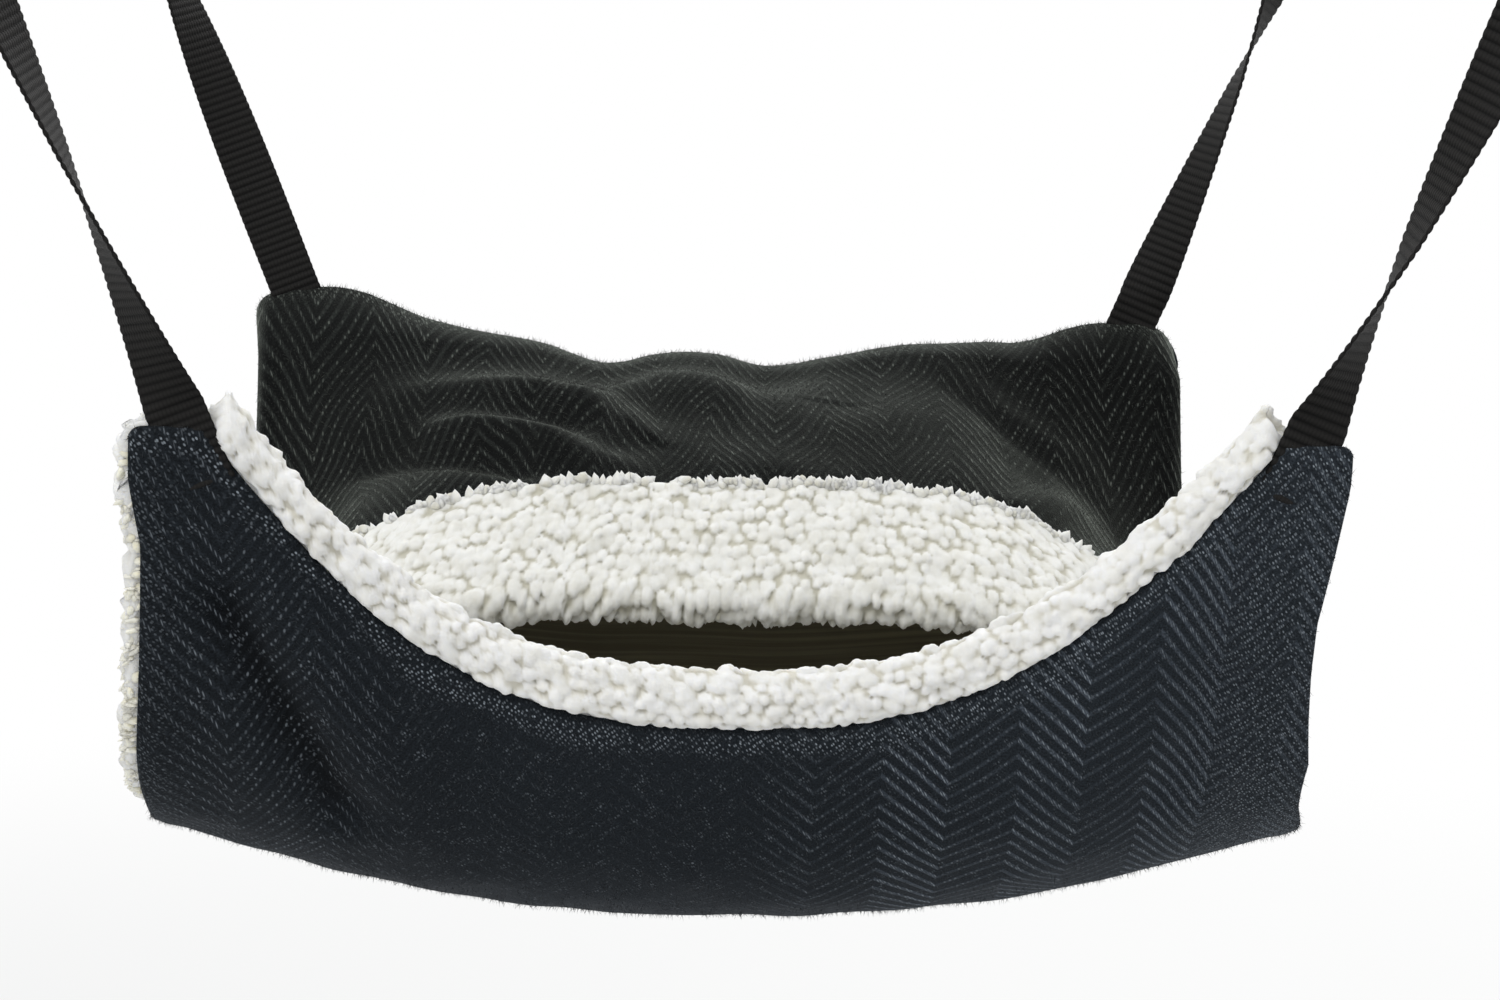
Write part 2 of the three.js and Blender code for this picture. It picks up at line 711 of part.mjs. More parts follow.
for (const corner of corners) {
  const frame = corner_frame(corner);
  const webbing = [0x15161a, 0.8, 0];
  const nickel = [0xb9bcc0, 0.3, 1];
  hammock.add(named_mesh(`strap_tail_${corner.name}`, tail_block(corner, 0), ...webbing));

  const strap_place = new THREE.Group();
  strap_place.applyMatrix4(basis(frame.across, frame.up, frame.hinge));
  strap_place.add(named_mesh(`strap_${corner.name}`, strap_geometry(corner), ...webbing));

  const snap = new THREE.Group();
  snap.position.z = strap_length;
  const eye = named_mesh(`swivel_eye_${corner.name}`, eye_geometry(), ...nickel);
  eye.rotation.z = strap_turn(corner, strap_length);
  snap.add(eye);
  snap.add(named_mesh(`snap_body_${corner.name}`, snap_body_geometry(), ...nickel));
  snap.add(named_mesh(`snap_bolt_${corner.name}`, bolt_geometry(), ...nickel));
  snap.add(named_mesh(`bolt_spring_${corner.name}`, spring_geometry(), 0xa7a9ac, 0.35, 1));
  strap_place.add(snap);
  hammock.add(strap_place);
}

export default hammock;
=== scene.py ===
# Small pocket hammock for a pet, dressed for looks over its CAD model.
# Lengths in this file are millimetres in the hammock's own frame, where the level plane
# through the cloth's corners is z = 0. They turn to metres where a mesh is made.

import json
import math

import bpy
import numpy as np
from mathutils import Matrix, Vector

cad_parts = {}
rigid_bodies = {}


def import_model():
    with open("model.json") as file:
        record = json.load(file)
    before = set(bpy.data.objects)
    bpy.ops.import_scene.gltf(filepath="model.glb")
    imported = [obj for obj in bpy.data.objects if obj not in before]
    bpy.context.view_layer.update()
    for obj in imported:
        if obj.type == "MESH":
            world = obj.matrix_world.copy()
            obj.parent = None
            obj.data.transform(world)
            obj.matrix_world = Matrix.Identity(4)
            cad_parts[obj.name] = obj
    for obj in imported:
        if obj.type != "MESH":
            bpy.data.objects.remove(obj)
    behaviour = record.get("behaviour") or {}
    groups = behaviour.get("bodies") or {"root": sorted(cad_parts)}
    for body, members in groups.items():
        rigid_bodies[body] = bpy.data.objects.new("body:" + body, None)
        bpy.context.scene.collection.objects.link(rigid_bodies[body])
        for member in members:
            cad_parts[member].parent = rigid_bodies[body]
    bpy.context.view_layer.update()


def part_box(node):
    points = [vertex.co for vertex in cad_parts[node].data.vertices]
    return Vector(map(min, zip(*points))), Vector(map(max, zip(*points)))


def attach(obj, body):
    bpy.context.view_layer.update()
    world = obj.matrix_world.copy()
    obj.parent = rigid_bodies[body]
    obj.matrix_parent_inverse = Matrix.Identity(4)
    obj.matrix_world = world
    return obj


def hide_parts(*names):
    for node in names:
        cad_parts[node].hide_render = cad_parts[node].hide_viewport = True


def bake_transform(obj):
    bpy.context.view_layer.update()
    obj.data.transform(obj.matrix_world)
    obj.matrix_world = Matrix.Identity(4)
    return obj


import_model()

scene = bpy.context.scene

# The studio
# A plain pale floor far under the hanging hammock, a soft even sky and two large soft
# lamps. The camera stands a little left of the middle and looks slightly down.
SLING_DROP = 198
corner_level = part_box("sling_shell")[0].z * 1000 + SLING_DROP

PITCH = math.radians(12.66)
YAW = math.radians(3.1)
ROLL = math.radians(1.6)
ahead = Vector((math.sin(YAW) * math.cos(PITCH), math.cos(YAW) * math.cos(PITCH), -math.sin(PITCH)))
level_right = Vector((math.cos(YAW), -math.sin(YAW), 0))
level_up = level_right.cross(ahead)
right = level_right * math.cos(ROLL) + level_up * math.sin(ROLL)
upward = level_up * math.cos(ROLL) - level_right * math.sin(ROLL)
camera_data = bpy.data.cameras.new("photo_camera")
camera_data.lens = 73.2
camera_data.sensor_width = 36
camera_data.clip_end = 50
camera = bpy.data.objects.new("photo_camera", camera_data)
scene.collection.objects.link(camera)
turn = Matrix((right, upward, -ahead)).transposed().to_4x4()
camera_place = Vector((-53, -1113, 199 + corner_level)) / 1000
camera.matrix_world = Matrix.Translation(camera_place) @ turn
scene.camera = camera
scene.view_settings.view_transform = "Standard"


def linear(hex_colour):
    """An sRGB hex colour as the linear RGBA that a shader takes."""
    parts = [int(hex_colour[k : k + 2], 16) / 255 for k in (1, 3, 5)]
    bent = [c / 12.92 if c <= 0.04045 else ((c + 0.055) / 1.055) ** 2.4 for c in parts]
    return (*bent, 1)


def add(tree, kind, inputs=(), **settings):
    """Adds a shader node. Its inputs are values, sockets or nodes, in order or by name."""
    node = tree.nodes.new("ShaderNode" + kind)
    for name, value in settings.items():
        setattr(node, name, value)
    for key, value in inputs.items() if isinstance(inputs, dict) else enumerate(inputs):
        if isinstance(value, bpy.types.Node):
            value = value.outputs[0]
        if isinstance(value, bpy.types.NodeSocket):
            tree.links.new(value, node.inputs[key])
        else:
            node.inputs[key].default_value = value
    return node


def empty_material(name):
    material = bpy.data.materials.new(name)
    material.use_nodes = True
    material.node_tree.nodes.clear()
    return material, material.node_tree


def surface(tree, share, low, high, settings, relief=None, strength=0.0, depth=0.0):
    """Ends a material in one shader, of two tones mixed by a share, over a fine relief."""
    tones = {0: share, 6: linear(low), 7: linear(high)}
    settings = {"Base Color": add(tree, "Mix", tones, data_type="RGBA").outputs[2], **settings}
    if relief:
        bump = {"Height": relief, "Strength": strength, "Distance": depth}
        settings["Normal"] = add(tree, "Bump", bump)
    add(tree, "OutputMaterial", (add(tree, "BsdfPrincipled", settings),))


# Matt pale paper sweep: it takes the soft shadow near the object and goes to plain white
# where the camera looks past it.
paper, tree = empty_material("matt_paper_sweep")
diffuse = add(tree, "BsdfDiffuse", {"Color": linear("#f2f2f0")})
glow = add(tree, "Emission", {"Color": (1, 1, 1, 1), "Strength": 1})
place = add(tree, "NewGeometry")
distance = add(tree, "VectorMath", (place.outputs["Position"],), operation="LENGTH")
far = add(tree, "MapRange", (distance.outputs["Value"], 1.25, 2.2), interpolation_type="SMOOTHSTEP")
rays = add(tree, "LightPath").outputs
seen = add(tree, "Math", (rays["Is Camera Ray"], rays["Is Glossy Ray"]), operation="MAXIMUM")
seen_far = add(tree, "Math", (seen, far), operation="MULTIPLY")
sweep = add(tree, "MixShader", (seen_far, diffuse, glow))
from_below = (rays["Is Camera Ray"], place.outputs["Backfacing"])
hidden = add(tree, "Math", from_below, operation="MULTIPLY")
clear = add(tree, "BsdfTransparent")
add(tree, "OutputMaterial", (add(tree, "MixShader", (hidden, sweep, clear)),))

FLOOR_LEVEL = -0.95
bpy.ops.mesh.primitive_circle_add(
    vertices=64, radius=9, fill_type="NGON", location=(0, 0, FLOOR_LEVEL)
)
floor = bpy.context.object
floor.name = "studio_floor"
floor.data.materials.append(paper)

world = bpy.data.worlds.new("soft_sky")
scene.world = world
world.use_nodes = True
tree = world.node_tree
tree.nodes.clear()
rays = add(tree, "LightPath").outputs
seen = add(tree, "Math", (rays["Is Camera Ray"], rays["Is Glossy Ray"]), operation="MAXIMUM")
seen = add(tree, "Math", (seen, rays["Is Transmission Ray"]), operation="MAXIMUM")
sky = add(tree, "Background", {"Color": linear("#fbfcff"), "Strength": 0.62})
white = add(tree, "Background", {"Color": (1, 1, 1, 1), "Strength": 1})
add(tree, "OutputWorld", (add(tree, "MixShader", (seen, sky, white)),))


def soft_lamp(name, place, size, power):
    """A square soft box that looks at the middle of the hammock."""
    data = bpy.data.lights.new(name, "AREA")
    data.size = size
    data.energy = power
    lamp = bpy.data.objects.new(name, data)
    scene.collection.objects.link(lamp)
    lamp.location = place
    aim = Vector((0, 0, -0.28)) - Vector(place)
    lamp.rotation_euler = aim.to_track_quat("-Z", "Y").to_euler()


soft_lamp("soft_box_above", (-0.7, -1.0, 1.5), size=1.4, power=26)
soft_lamp("soft_box_behind", (0.8, 1.5, 1.2), size=1.6, power=22)


# Outer ply of the sling
# One length of thick herringbone cloth hangs from the front edge, under the pocket and up
# to the back edge. Its edges are turned in and sewn, so they are rounded and full.
SLING_WIDTH_FRONT = 398
SLING_WIDTH_BACK = 384
SLING_DEPTH = 270
SLING_SIDE_DROP = 166
FRONT_SAG = 103
FRONT_SAG_REACH = 177
BACK_SAG = 21
BACK_STRAP_X = 175
SHELL = 1.8
PLY_GAP = 0.35


def mix(a, b, share):
    return a + (b - a) * share


def smooth(value, low, high):
    share = np.clip((value - low) / (high - low), 0, 1)
    return share * share * (3 - 2 * share)


def points(x, y, z):
    return np.stack(np.broadcast_arrays(x, y, z), axis=-1).astype(float)


def unit(vectors):
    return vectors / np.maximum(np.linalg.norm(vectors, axis=-1, keepdims=True), 1e-9)


def hump(value, centre, width):
    """1 at a centre, falling off smoothly over a width to each side."""
    return np.exp(-(((value - centre) / width) ** 2))


def run_of(line):
    """Length from the first point or row, for each point of a line or grid."""
    gaps = np.linalg.norm(np.diff(line, axis=0), axis=-1)
    return np.concatenate([0 * gaps[:1], np.cumsum(gaps, axis=0)])


def edge_rounding(distance, radius):
    """0 at an edge, and up to 1 one radius in, as the side of a half round."""
    share = np.clip(distance / radius, 0, 1)
    return np.sqrt(np.maximum(0, 1 - (1 - share) ** 2))


def ripples(x, y, wavelength, seed, waves=14):
    """A soft random field of about unit height, from sines in all directions."""
    rng = np.random.default_rng(seed)
    total = 0
    for _ in range(waves):
        angle = rng.uniform(0, math.pi)
        phase = rng.uniform(0, 2 * math.pi)
        stretch = rng.uniform(0.7, 1.4)
        run = x * math.cos(angle) + y * math.sin(angle)
        total = total + np.sin(2 * math.pi * run / (wavelength * stretch) + phase)
    return total / math.sqrt(waves / 2)


def front_edge(u):
    """The top of the front wall: a deep curve between its two corners."""
    x = u * SLING_WIDTH_FRONT / 2
    reach = np.minimum(1, np.abs(x) / FRONT_SAG_REACH)
    ease = 1 - 0.17 * np.maximum(0, u) ** 2
    corner_round = 4 * (1 - edge_rounding(SLING_WIDTH_FRONT / 2 - np.abs(x), 4))
    level = -FRONT_SAG * (1 - reach**2.64) * ease - corner_round
    return points(x, -SLING_DEPTH / 2 + 10 * (1 - u * u), level)


# The back edge is puckered by its seam: how far it stands off its even sag, along x.
PUCKER_X = [-192, -178, -160, -144, -126, -112, -98, -86, -72, -58, -50, -40, -28, -14, 0]
PUCKER_X += [10, 18, 30, 42, 52, 64, 78, 92, 112, 124, 134, 144, 156, 170, 182, 192]
PUCKER_Z = [-1, 0, 0, -0.7, -0.4, 0.7, 0.4, 0.4, -0.6, -4.5, -6.6, -5.4, -1.2, 0.6, 0]
PUCKER_Z += [-3.2, -5.2, -4.6, -2.4, -1.4, 0.4, 1.2, 0, -1.6, -4.2, -3.6, -1.6, -1.2, -4.4, -5.4, -3]


def pucker_at(x):
    return sum(np.interp(x + shift, PUCKER_X, PUCKER_Z) for shift in (-4, -2, 0, 2, 4)) / 5


def back_edge(u):
    """The top of the back wall: a shallow puckered sag between the two back straps."""
    x = u * SLING_WIDTH_BACK / 2
    sag = 1 - np.minimum(1, np.abs(x) / BACK_STRAP_X) ** 2
    past_strap = np.maximum(0, np.abs(x) - BACK_STRAP_X) / 17
    corner_drop = np.where(u > 0, 11, 1) * past_strap**2
    corner_round = 7 * (1 - edge_rounding(SLING_WIDTH_BACK / 2 - np.abs(x), 7))
    rise = 8 * hump(x, -150, 25)
    level = rise + pucker_at(x) - BACK_SAG * sag - corner_drop - corner_round
    return points(x, SLING_DEPTH / 2 - 4 * (1 - u * u), level)


def sling_face(u, t):
    """The even U of the sling. Across it u goes from -1 to 1, left to right; t goes from 0
    at the front edge, under the pocket, to 1 at the back edge."""
    front, back = front_edge(u), back_edge(u)
    edge = np.where((t < 0.5)[..., None], front, back)
    angle = math.pi * t
    width = mix(SLING_WIDTH_FRONT, SLING_WIDTH_BACK, t) + 28 * np.sin(angle) ** 3
    fullness = 2 / 2.6
    along = np.sign(np.cos(angle)) * np.abs(np.cos(angle)) ** fullness
    down = np.maximum(0, np.sin(angle)) ** fullness
    bottom = -mix(SLING_DROP, SLING_SIDE_DROP, np.abs(u) ** 2.2)
    return points(u * width / 2, -np.abs(edge[..., 1]) * along, mix(edge[..., 2], bottom, down))


def beside(x, y, start, end):
    """The share of each point along a line from start to end, its distance and its side."""
    start = np.array(start, float)
    line = np.array(end, float) - start
    share = np.clip(((x - start[0]) * line[0] + (y - start[1]) * line[1]) / (line @ line), 0, 1)
    gap = np.hypot(x - start[0] - share * line[0], y - start[1] - share * line[1])
    side = (y - start[1]) * line[0] - (x - start[0]) * line[1]
    return share, gap, side


def trough(x, y, start, end, width):
    """1 along a line between two points, falling off over a width to each side."""
    return hump(beside(x, y, start, end)[1], 0, width)


# How far the cloth's sides stand out or in from straight, by depth below the corners.
LEFT_SIDE = ([0, 18, 40, 60, 95, 120, 135, 175], [-3.6, -4.0, -0.8, -1.6, -3.2, -4.6, -4.6, 0])
RIGHT_SIDE = (
    [0, 15, 35, 62, 80, 100, 118, 140, 175],
    [1.0, 0.6, -2.2, -6.4, -6.4, -5.0, -3.4, -7.5, -4],
)


def hanging_face(u, t):
    """The sling as it hangs: its sides wander and its front wall has soft hollows."""
    face = sling_face(u, t)
    x, y, depth = face[..., 0], face[..., 1], -face[..., 2]
    in_front = smooth(-y, 60, 122)
    side_left = np.interp(depth, *LEFT_SIDE) * np.clip(-u, 0, 1) ** 6
    side_right = np.interp(depth, *RIGHT_SIDE) * np.clip(u, 0, 1) ** 6
    below_edge = smooth(depth - np.abs(front_edge(u)[..., 2]), 6, 40)
    # A deep crease falls inwards from the left corner, and a shallow one from the right.
    hollow = 9.0 * trough(x, depth, (-174, 60), (-134, 138), 10)
    hollow = hollow + 5.0 * trough(x, depth, (160, 84), (152, 124), 12)
    swell = 2.4 * trough(x, depth, (-152, 62), (-116, 118), 13)
    swell = swell + 1.5 * trough(x, depth, (178, 60), (172, 120), 8)
    soft = 0.9 * ripples(x, depth, 90, 3)
    push = (swell - hollow + soft) * in_front * below_edge
    back_left = 2.2 * np.clip(-u, 0, 1) ** 6 * smooth(y, 60, 122)
    return face + points((side_left + side_right) * in_front + back_left, -push, 0)


def normals_of(face, u, t):
    """Unit normals of a face: out of the sling's U, or up from the cover."""
    step = 0.002
    cu = np.clip(u, -1 + step, 1 - step)
    ct = np.clip(t, step, 1 - step)
    across = face(cu + step, ct) - face(cu - step, ct)
    along = face(cu, ct + step) - face(cu, ct - step)
    return unit(np.cross(along, across))


def even_shares(face, pitch, first=0.0, last=1.0):
    """Values of t whose points down the middle of the face lie about one pitch apart."""
    fine = np.linspace(first, last, 3000)
    run = run_of(face(0 * fine, fine))
    return np.interp(np.linspace(0, run[-1], max(4, round(run[-1] / pitch))), run, fine)


def piece_from(name, vertices, faces, maps=None):
    """A smooth Blender object from millimetre points in the hammock's frame. Each of its
    maps gives two values for every point."""
    mesh = bpy.data.meshes.new(name)
    placed = (np.asarray(vertices, float).reshape(-1, 3) + [0, 0, corner_level]) / 1000
    mesh.from_pydata(placed.tolist(), [], faces)
    corner_vertices = np.zeros(len(mesh.loops), int)
    mesh.loops.foreach_get("vertex_index", corner_vertices)
    for map_name, values in (maps or {}).items():
        layer = mesh.uv_layers.new(name=map_name)
        layer.data.foreach_set("uv", np.asarray(values, float).reshape(-1, 2)[corner_vertices].ravel())
    mesh.polygons.foreach_set("use_smooth", np.ones(len(mesh.polygons), bool))
    mesh.update()
    piece = bpy.data.objects.new(name, mesh)
    scene.collection.objects.link(piece)
    return piece


def twice(values):
    """A map that holds one value two times over."""
    return np.stack([values, values], axis=-1)


def quads(index):
    """The four-sided faces between neighbours in a grid of point numbers."""
    corners = (index[:-1, :-1], index[:-1, 1:], index[1:, 1:], index[1:, :-1])
    return np.stack(corners, axis=-1).reshape(-1, 4)


def two_faced(middle, normal, half):
    """Points and faces for a closed ply around a middle grid, and which points lie inside
    its border. The half thickness is 0 there, where the two faces share their points."""
    rows, columns = half.shape
    upper = np.arange(rows * columns).reshape(rows, columns)
    lower = np.full((rows, columns), -1)
    inside = np.zeros((rows, columns), bool)
    inside[1:-1, 1:-1] = True
    lower[inside] = rows * columns + np.arange(inside.sum())
    lower[~inside] = upper[~inside]
    over = middle + normal * half[..., None]
    under = (middle - normal * half[..., None])[inside]
    vertices = np.concatenate([over.reshape(-1, 3), under])
    faces = np.concatenate([quads(upper), quads(lower)[:, [0, 3, 2, 1]]])
    return vertices, faces, inside


def closed_ply(name, middle, normal, half, maps, flip=False):
    """A sheet as one closed piece. Flip is for a grid whose faces would look inwards."""
    vertices, faces, inside = two_faced(middle, normal, half)
    both = {key: np.concatenate([value.reshape(-1, 2), value[inside]]) for key, value in maps.items()}
    return piece_from(name, vertices, (faces[:, ::-1] if flip else faces).tolist(), both)


def from_edges(run, from_side):
    """Distance from the nearest edge, for each point of a sheet's grid."""
    return np.minimum(np.minimum(run, run[-1:] - run), from_side)


# The grid is fine at the edges, where the cloth is rounded.
EDGE_STEPS = np.array([0, 0.12, 0.4, 0.9, 1.6, 2.6, 4.0, 6.0])
MIDDLE_FROM = 8
half_width = SLING_WIDTH_FRONT / 2
side_columns = EDGE_STEPS / half_width
middle_columns = np.linspace(-1 + MIDDLE_FROM / half_width, 1 - MIDDLE_FROM / half_width, 170)
u_line = np.concatenate([-1 + side_columns, middle_columns, (1 - side_columns)[::-1]])
t_even = even_shares(hanging_face, 2.6)
t_line = np.concatenate([[0, 0.00002, 0.0001, 0.0003], t_even[1:-1], [0.9997, 0.9999, 0.99998, 1]])
u, t = np.meshgrid(u_line, t_line)
face = hanging_face(u, t)
outward = normals_of(hanging_face, u, t)
run = run_of(face)
run_back = run[-1:] - run
from_side = (1 - np.abs(u)) * half_width
sag_at = np.abs(front_edge(u)[..., 2])
x_mm, level_mm = face[..., 0], run + sag_at

# The turned edges stand a little proud, and the cloth rolls in towards its seams.
full_edge = 1.1 * hump(run, 7, 6) + 1.0 * hump(run_back, 6, 6)
full_side = 0.9 * hump(from_side, 5, 4.5) * smooth(run, 0, 20) * smooth(run_back, 0, 20)
roll_in = -1.2 * (np.exp(-run / 1.6) + np.exp(-run_back / 1.6))
calm = smooth(run, 4, 40) * smooth(run_back, 4, 40) * smooth(from_side, 0, 22)
soft = 0.3 + 0.25 * ripples(x_mm, level_mm, 34, 8)
push = full_edge + full_side + roll_in + calm * np.maximum(0, soft)
thick = SHELL / 2 * edge_rounding(from_edges(run, from_side), 1.1)
middle = face + outward * (push - SHELL / 2)[..., None]

# The weave map is millimetres across the cloth and down it. The cloth is stretched a
# little towards its left side, its rows lie further apart towards both sides of the front
# wall, and a small pull here and there bends the twill lines. The rows of the back wall
# are counted from its own edge.
LEFT_STRETCH = 22
ROW_SCALE = ([-199, -60, 60, 199], [0.82, 1.0, 1.0, 0.88])
FRONT_ROWS, BACK_EDGE_ROW = 190, 520
pull = 0.3 * points(ripples(x_mm, level_mm, 60, 11), ripples(x_mm, level_mm, 60, 12), 0)[..., :2]
stretched = LEFT_STRETCH * np.clip((-85 - x_mm) / 115, 0, 1) ** 1.6
rows_down = level_mm + (np.interp(x_mm, *ROW_SCALE) - 1) * np.minimum(level_mm, FRONT_ROWS)
rows_down = mix(rows_down, BACK_EDGE_ROW - run_back, smooth(t, 0.36, 0.62))
weave_map = np.stack([x_mm + stretched, rows_down], axis=-1) + pull
# The seam map is the distance in from the side and from the nearer sewn edge. The cloth is
# rubbed further in at its right side than at its left.
rubbed_width = mix(-12, 22, smooth(x_mm, 60, 150))
seam_map = np.stack([from_side - rubbed_width, np.minimum(run, run_back)], axis=-1)
# The wear map is how bold the weave is, and how clear. It is bold on the right of the front
# wall, soft on the left, and brushed away in the middle.
at_back = smooth(t, 0.4, 0.52)
off_middle = 0.6 * smooth(-x_mm, 92, 166) + 0.88 * smooth(x_mm, -2, 48)
bold_map = smooth(x_mm, -20, 60) * (1 - at_back)
wear_map = np.stack([bold_map, mix(0.12 + off_middle, 0.5, at_back)], axis=-1)
# The nap map holds painted shade: a painted dark shadow along the left hollow, and a tone
# that is lighter towards the right and darker towards the far left. Its second value is how
# steeply the twill lines climb.
painted_hollow_shade = 0.5 * trough(x_mm, -face[..., 2], (-172, 66), (-138, 130), 8) * (1 - at_back)
painted_shade_tone = 1.06 + 0.36 * smooth(x_mm, 20, 130) - 0.2 * smooth(-x_mm, 60, 140)
steep_map = 0.8 + 0.75 * smooth(-x_mm, 30, 150) + 0.35 * smooth(x_mm, 110, 180)
shade_and_steep_map = np.stack([painted_shade_tone - painted_hollow_shade, mix(steep_map, 1.0, at_back)], axis=-1)
sling_maps = {"weave": weave_map, "seam": seam_map, "wear": wear_map, "nap": shade_and_steep_map}
sling_cloth = closed_ply("sling_cloth", middle, outward, thick, sling_maps, flip=True)


# The zigzag repeats every 46 mm across. Its twill lines lie 5.8 mm apart down the weave
# map, and each is a row of yarn floats 2.3 mm apart.
WEAVE_REPEAT = 46
TWILL_PITCH = 5.8
FLOAT_PITCH = 2.3


def yarn_flecks(tree, along, across, row, twin):
    """Light on the yarn floats of a twill line: slanted pairs where twin is 1, and single
    dots where it is 0. Along and across are in millimetres; row is the line's number."""
    strands = []
    for strand in (1, -1):
        shifted = add(tree, "Math", (row, 0.37, 0.25 * strand), operation="MULTIPLY_ADD")
        step = add(tree, "Math", (along, 1 / FLOAT_PITCH, shifted), operation="MULTIPLY_ADD")
        number = add(tree, "Math", (step,), operation="FLOOR")
        past = add(tree, "Math", (step, number), operation="SUBTRACT")
        a = add(tree, "Math", (past, FLOAT_PITCH, -FLOAT_PITCH / 2), operation="MULTIPLY_ADD")
        b = add(tree, "Math", (twin, -0.3 * strand, across), operation="MULTIPLY_ADD")
        spot = add(tree, "CombineXYZ", (a, b))
        shape = {"Vector": spot, "Rotation": (0, 0, 0.5), "Scale": (0.72, 0.34, 1)}
        oval = add(tree, "Mapping", shape, vector_type="TEXTURE")
        reach = add(tree, "VectorMath", (oval,), operation="LENGTH").outputs["Value"]
        body = add(tree, "MapRange", (reach, 1.25, 0.45), interpolation_type="SMOOTHSTEP")
        place = add(tree, "CombineXYZ", (number, row, 3 + strand))
        chance = add(tree, "TexWhiteNoise", {"Vector": place})
        lit = add(tree, "MapRange", (chance, 0.2, 1.0))
        strands.append(add(tree, "Math", (body, lit), operation="MULTIPLY"))
    second = add(tree, "Math", (strands[1], twin), operation="MULTIPLY")
    return add(tree, "Math", (strands[0], second), operation="MAXIMUM")


def herringbone(name, colours, faint, line_share, rubbed_side, scattered, sheen):
    """Brushed herringbone cloth, a dark ground under raised twill lines of pale-flecked
    yarn. It gives the eye zigzag columns of small flecks under a soft nap.

    The colours are of the ground, the twill lines, the flecks and the sheen. Faint is how
    much the lighter columns keep where the weave is bold; line_share is the strength of
    the lines, rubbed_side of the flecks along a worn side, and scattered of the loose ones."""
    ground, stroke, fleck, tint = [linear(colour) for colour in colours]
    material, tree = empty_material(name)
    cloth = add(tree, "UVMap", uv_map="weave")
    x, y = add(tree, "SeparateXYZ", (cloth,)).outputs[:2]
    inwards, down_seam, bold, clear, painted_shade_tone, steep = [
        socket
        for key in ("seam", "wear", "nap")
        for socket in add(tree, "SeparateXYZ", (add(tree, "UVMap", uv_map=key),)).outputs[:2]
    ]
    turns = add(tree, "Math", (x, 1 / WEAVE_REPEAT, -2 / WEAVE_REPEAT), operation="MULTIPLY_ADD")
    column = add(tree, "Math", (turns,), operation="FRACT")
    down = add(tree, "Math", (column, 0.5), operation="LESS_THAN")
    climb = add(tree, "Math", (column, WEAVE_REPEAT), operation="MULTIPLY")
    zigzag = add(tree, "Math", (climb, WEAVE_REPEAT / 2), operation="PINGPONG")
    fall = add(tree, "Math", (zigzag, steep), operation="MULTIPLY")
    line = add(tree, "Math", (y, fall), operation="SUBTRACT")
    square = add(tree, "Math", (steep, steep, 1.0), operation="MULTIPLY_ADD")
    slant = add(tree, "Math", (square,), operation="SQRT")
    along = add(tree, "Math", (climb, slant), operation="MULTIPLY")
    # In every other column the twill lines are bold and doubled.
    twin = add(tree, "Math", (down, bold), operation="MULTIPLY")
    rows = add(tree, "Math", (line, 1 / TWILL_PITCH), operation="MULTIPLY")
    row = add(tree, "Math", (rows,), operation="FLOOR")
    off_row = add(tree, "Math", (rows, row), operation="SUBTRACT")
    centred = add(tree, "Math", (off_row, TWILL_PITCH, -TWILL_PITCH / 2), operation="MULTIPLY_ADD")
    across = add(tree, "Math", (centred, slant), operation="DIVIDE")
    aside = add(tree, "Math", (across,), operation="ABSOLUTE")
    wide = add(tree, "Math", (twin, 0.15, 1.0), operation="MULTIPLY_ADD")
    narrow = add(tree, "Math", (twin, 0.15, 0.3), operation="MULTIPLY_ADD")
    on_row = add(tree, "MapRange", (aside, wide, narrow), interpolation_type="SMOOTHSTEP")
    flecks = yarn_flecks(tree, along, across, row, twin)
    # Where it turns over its seams, the cloth shows dense light flecks: painted glints of light on
    # the yarns that curve over the seam. Along a worn side it shows rubbed flecks of all its yarns.
    float_shape = {"Vector": cloth, "Rotation": (0, 0, 0.95), "Scale": (1.7, 0.95, 1)}
    slanted = add(tree, "Mapping", float_shape, vector_type="TEXTURE")
    cell_shape = {"Vector": slanted, "Scale": 1, "Randomness": 0.75}
    cells = add(tree, "TexVoronoi", cell_shape, voronoi_dimensions="2D")
    chance = add(tree, "SeparateColor", (cells.outputs["Color"],))
    spots = add(tree, "MapRange", (cells, 0.36, 0.14), interpolation_type="SMOOTHSTEP")
    lit = add(tree, "MapRange", (chance, 0.15, 1.0))
    close_flecks = add(tree, "Math", (spots, lit), operation="MULTIPLY")
    patches = add(tree, "TexNoise", {"Vector": cloth, "Scale": 0.02, "Detail": 2})
    reach = add(tree, "Math", (patches, 26), operation="MULTIPLY")
    within = add(tree, "Math", (reach, 0.5), operation="MULTIPLY")
    band = add(tree, "MapRange", (down_seam, reach, within), interpolation_type="SMOOTHSTEP")
    below_fold = add(tree, "MapRange", (down_seam, 1.0, 3.5))
    seam_glints = add(tree, "Math", (band, below_fold), operation="MULTIPLY")
    side_band = add(tree, "MapRange", (inwards, 30.0, 4.0, 0.0, rubbed_side))
    rubbed_and_glints = add(tree, "Math", (seam_glints, side_band), operation="MAXIMUM")
    islands = add(tree, "TexNoise", {"Vector": cloth, "Scale": 0.22, "Detail": 2})
    sparse = add(tree, "MapRange", (islands, 0.5, 0.7, 0.0, scattered))
    places = add(tree, "Math", (rubbed_and_glints, sparse), operation="MAXIMUM")
    loose = add(tree, "Math", (close_flecks, places), operation="MULTIPLY")
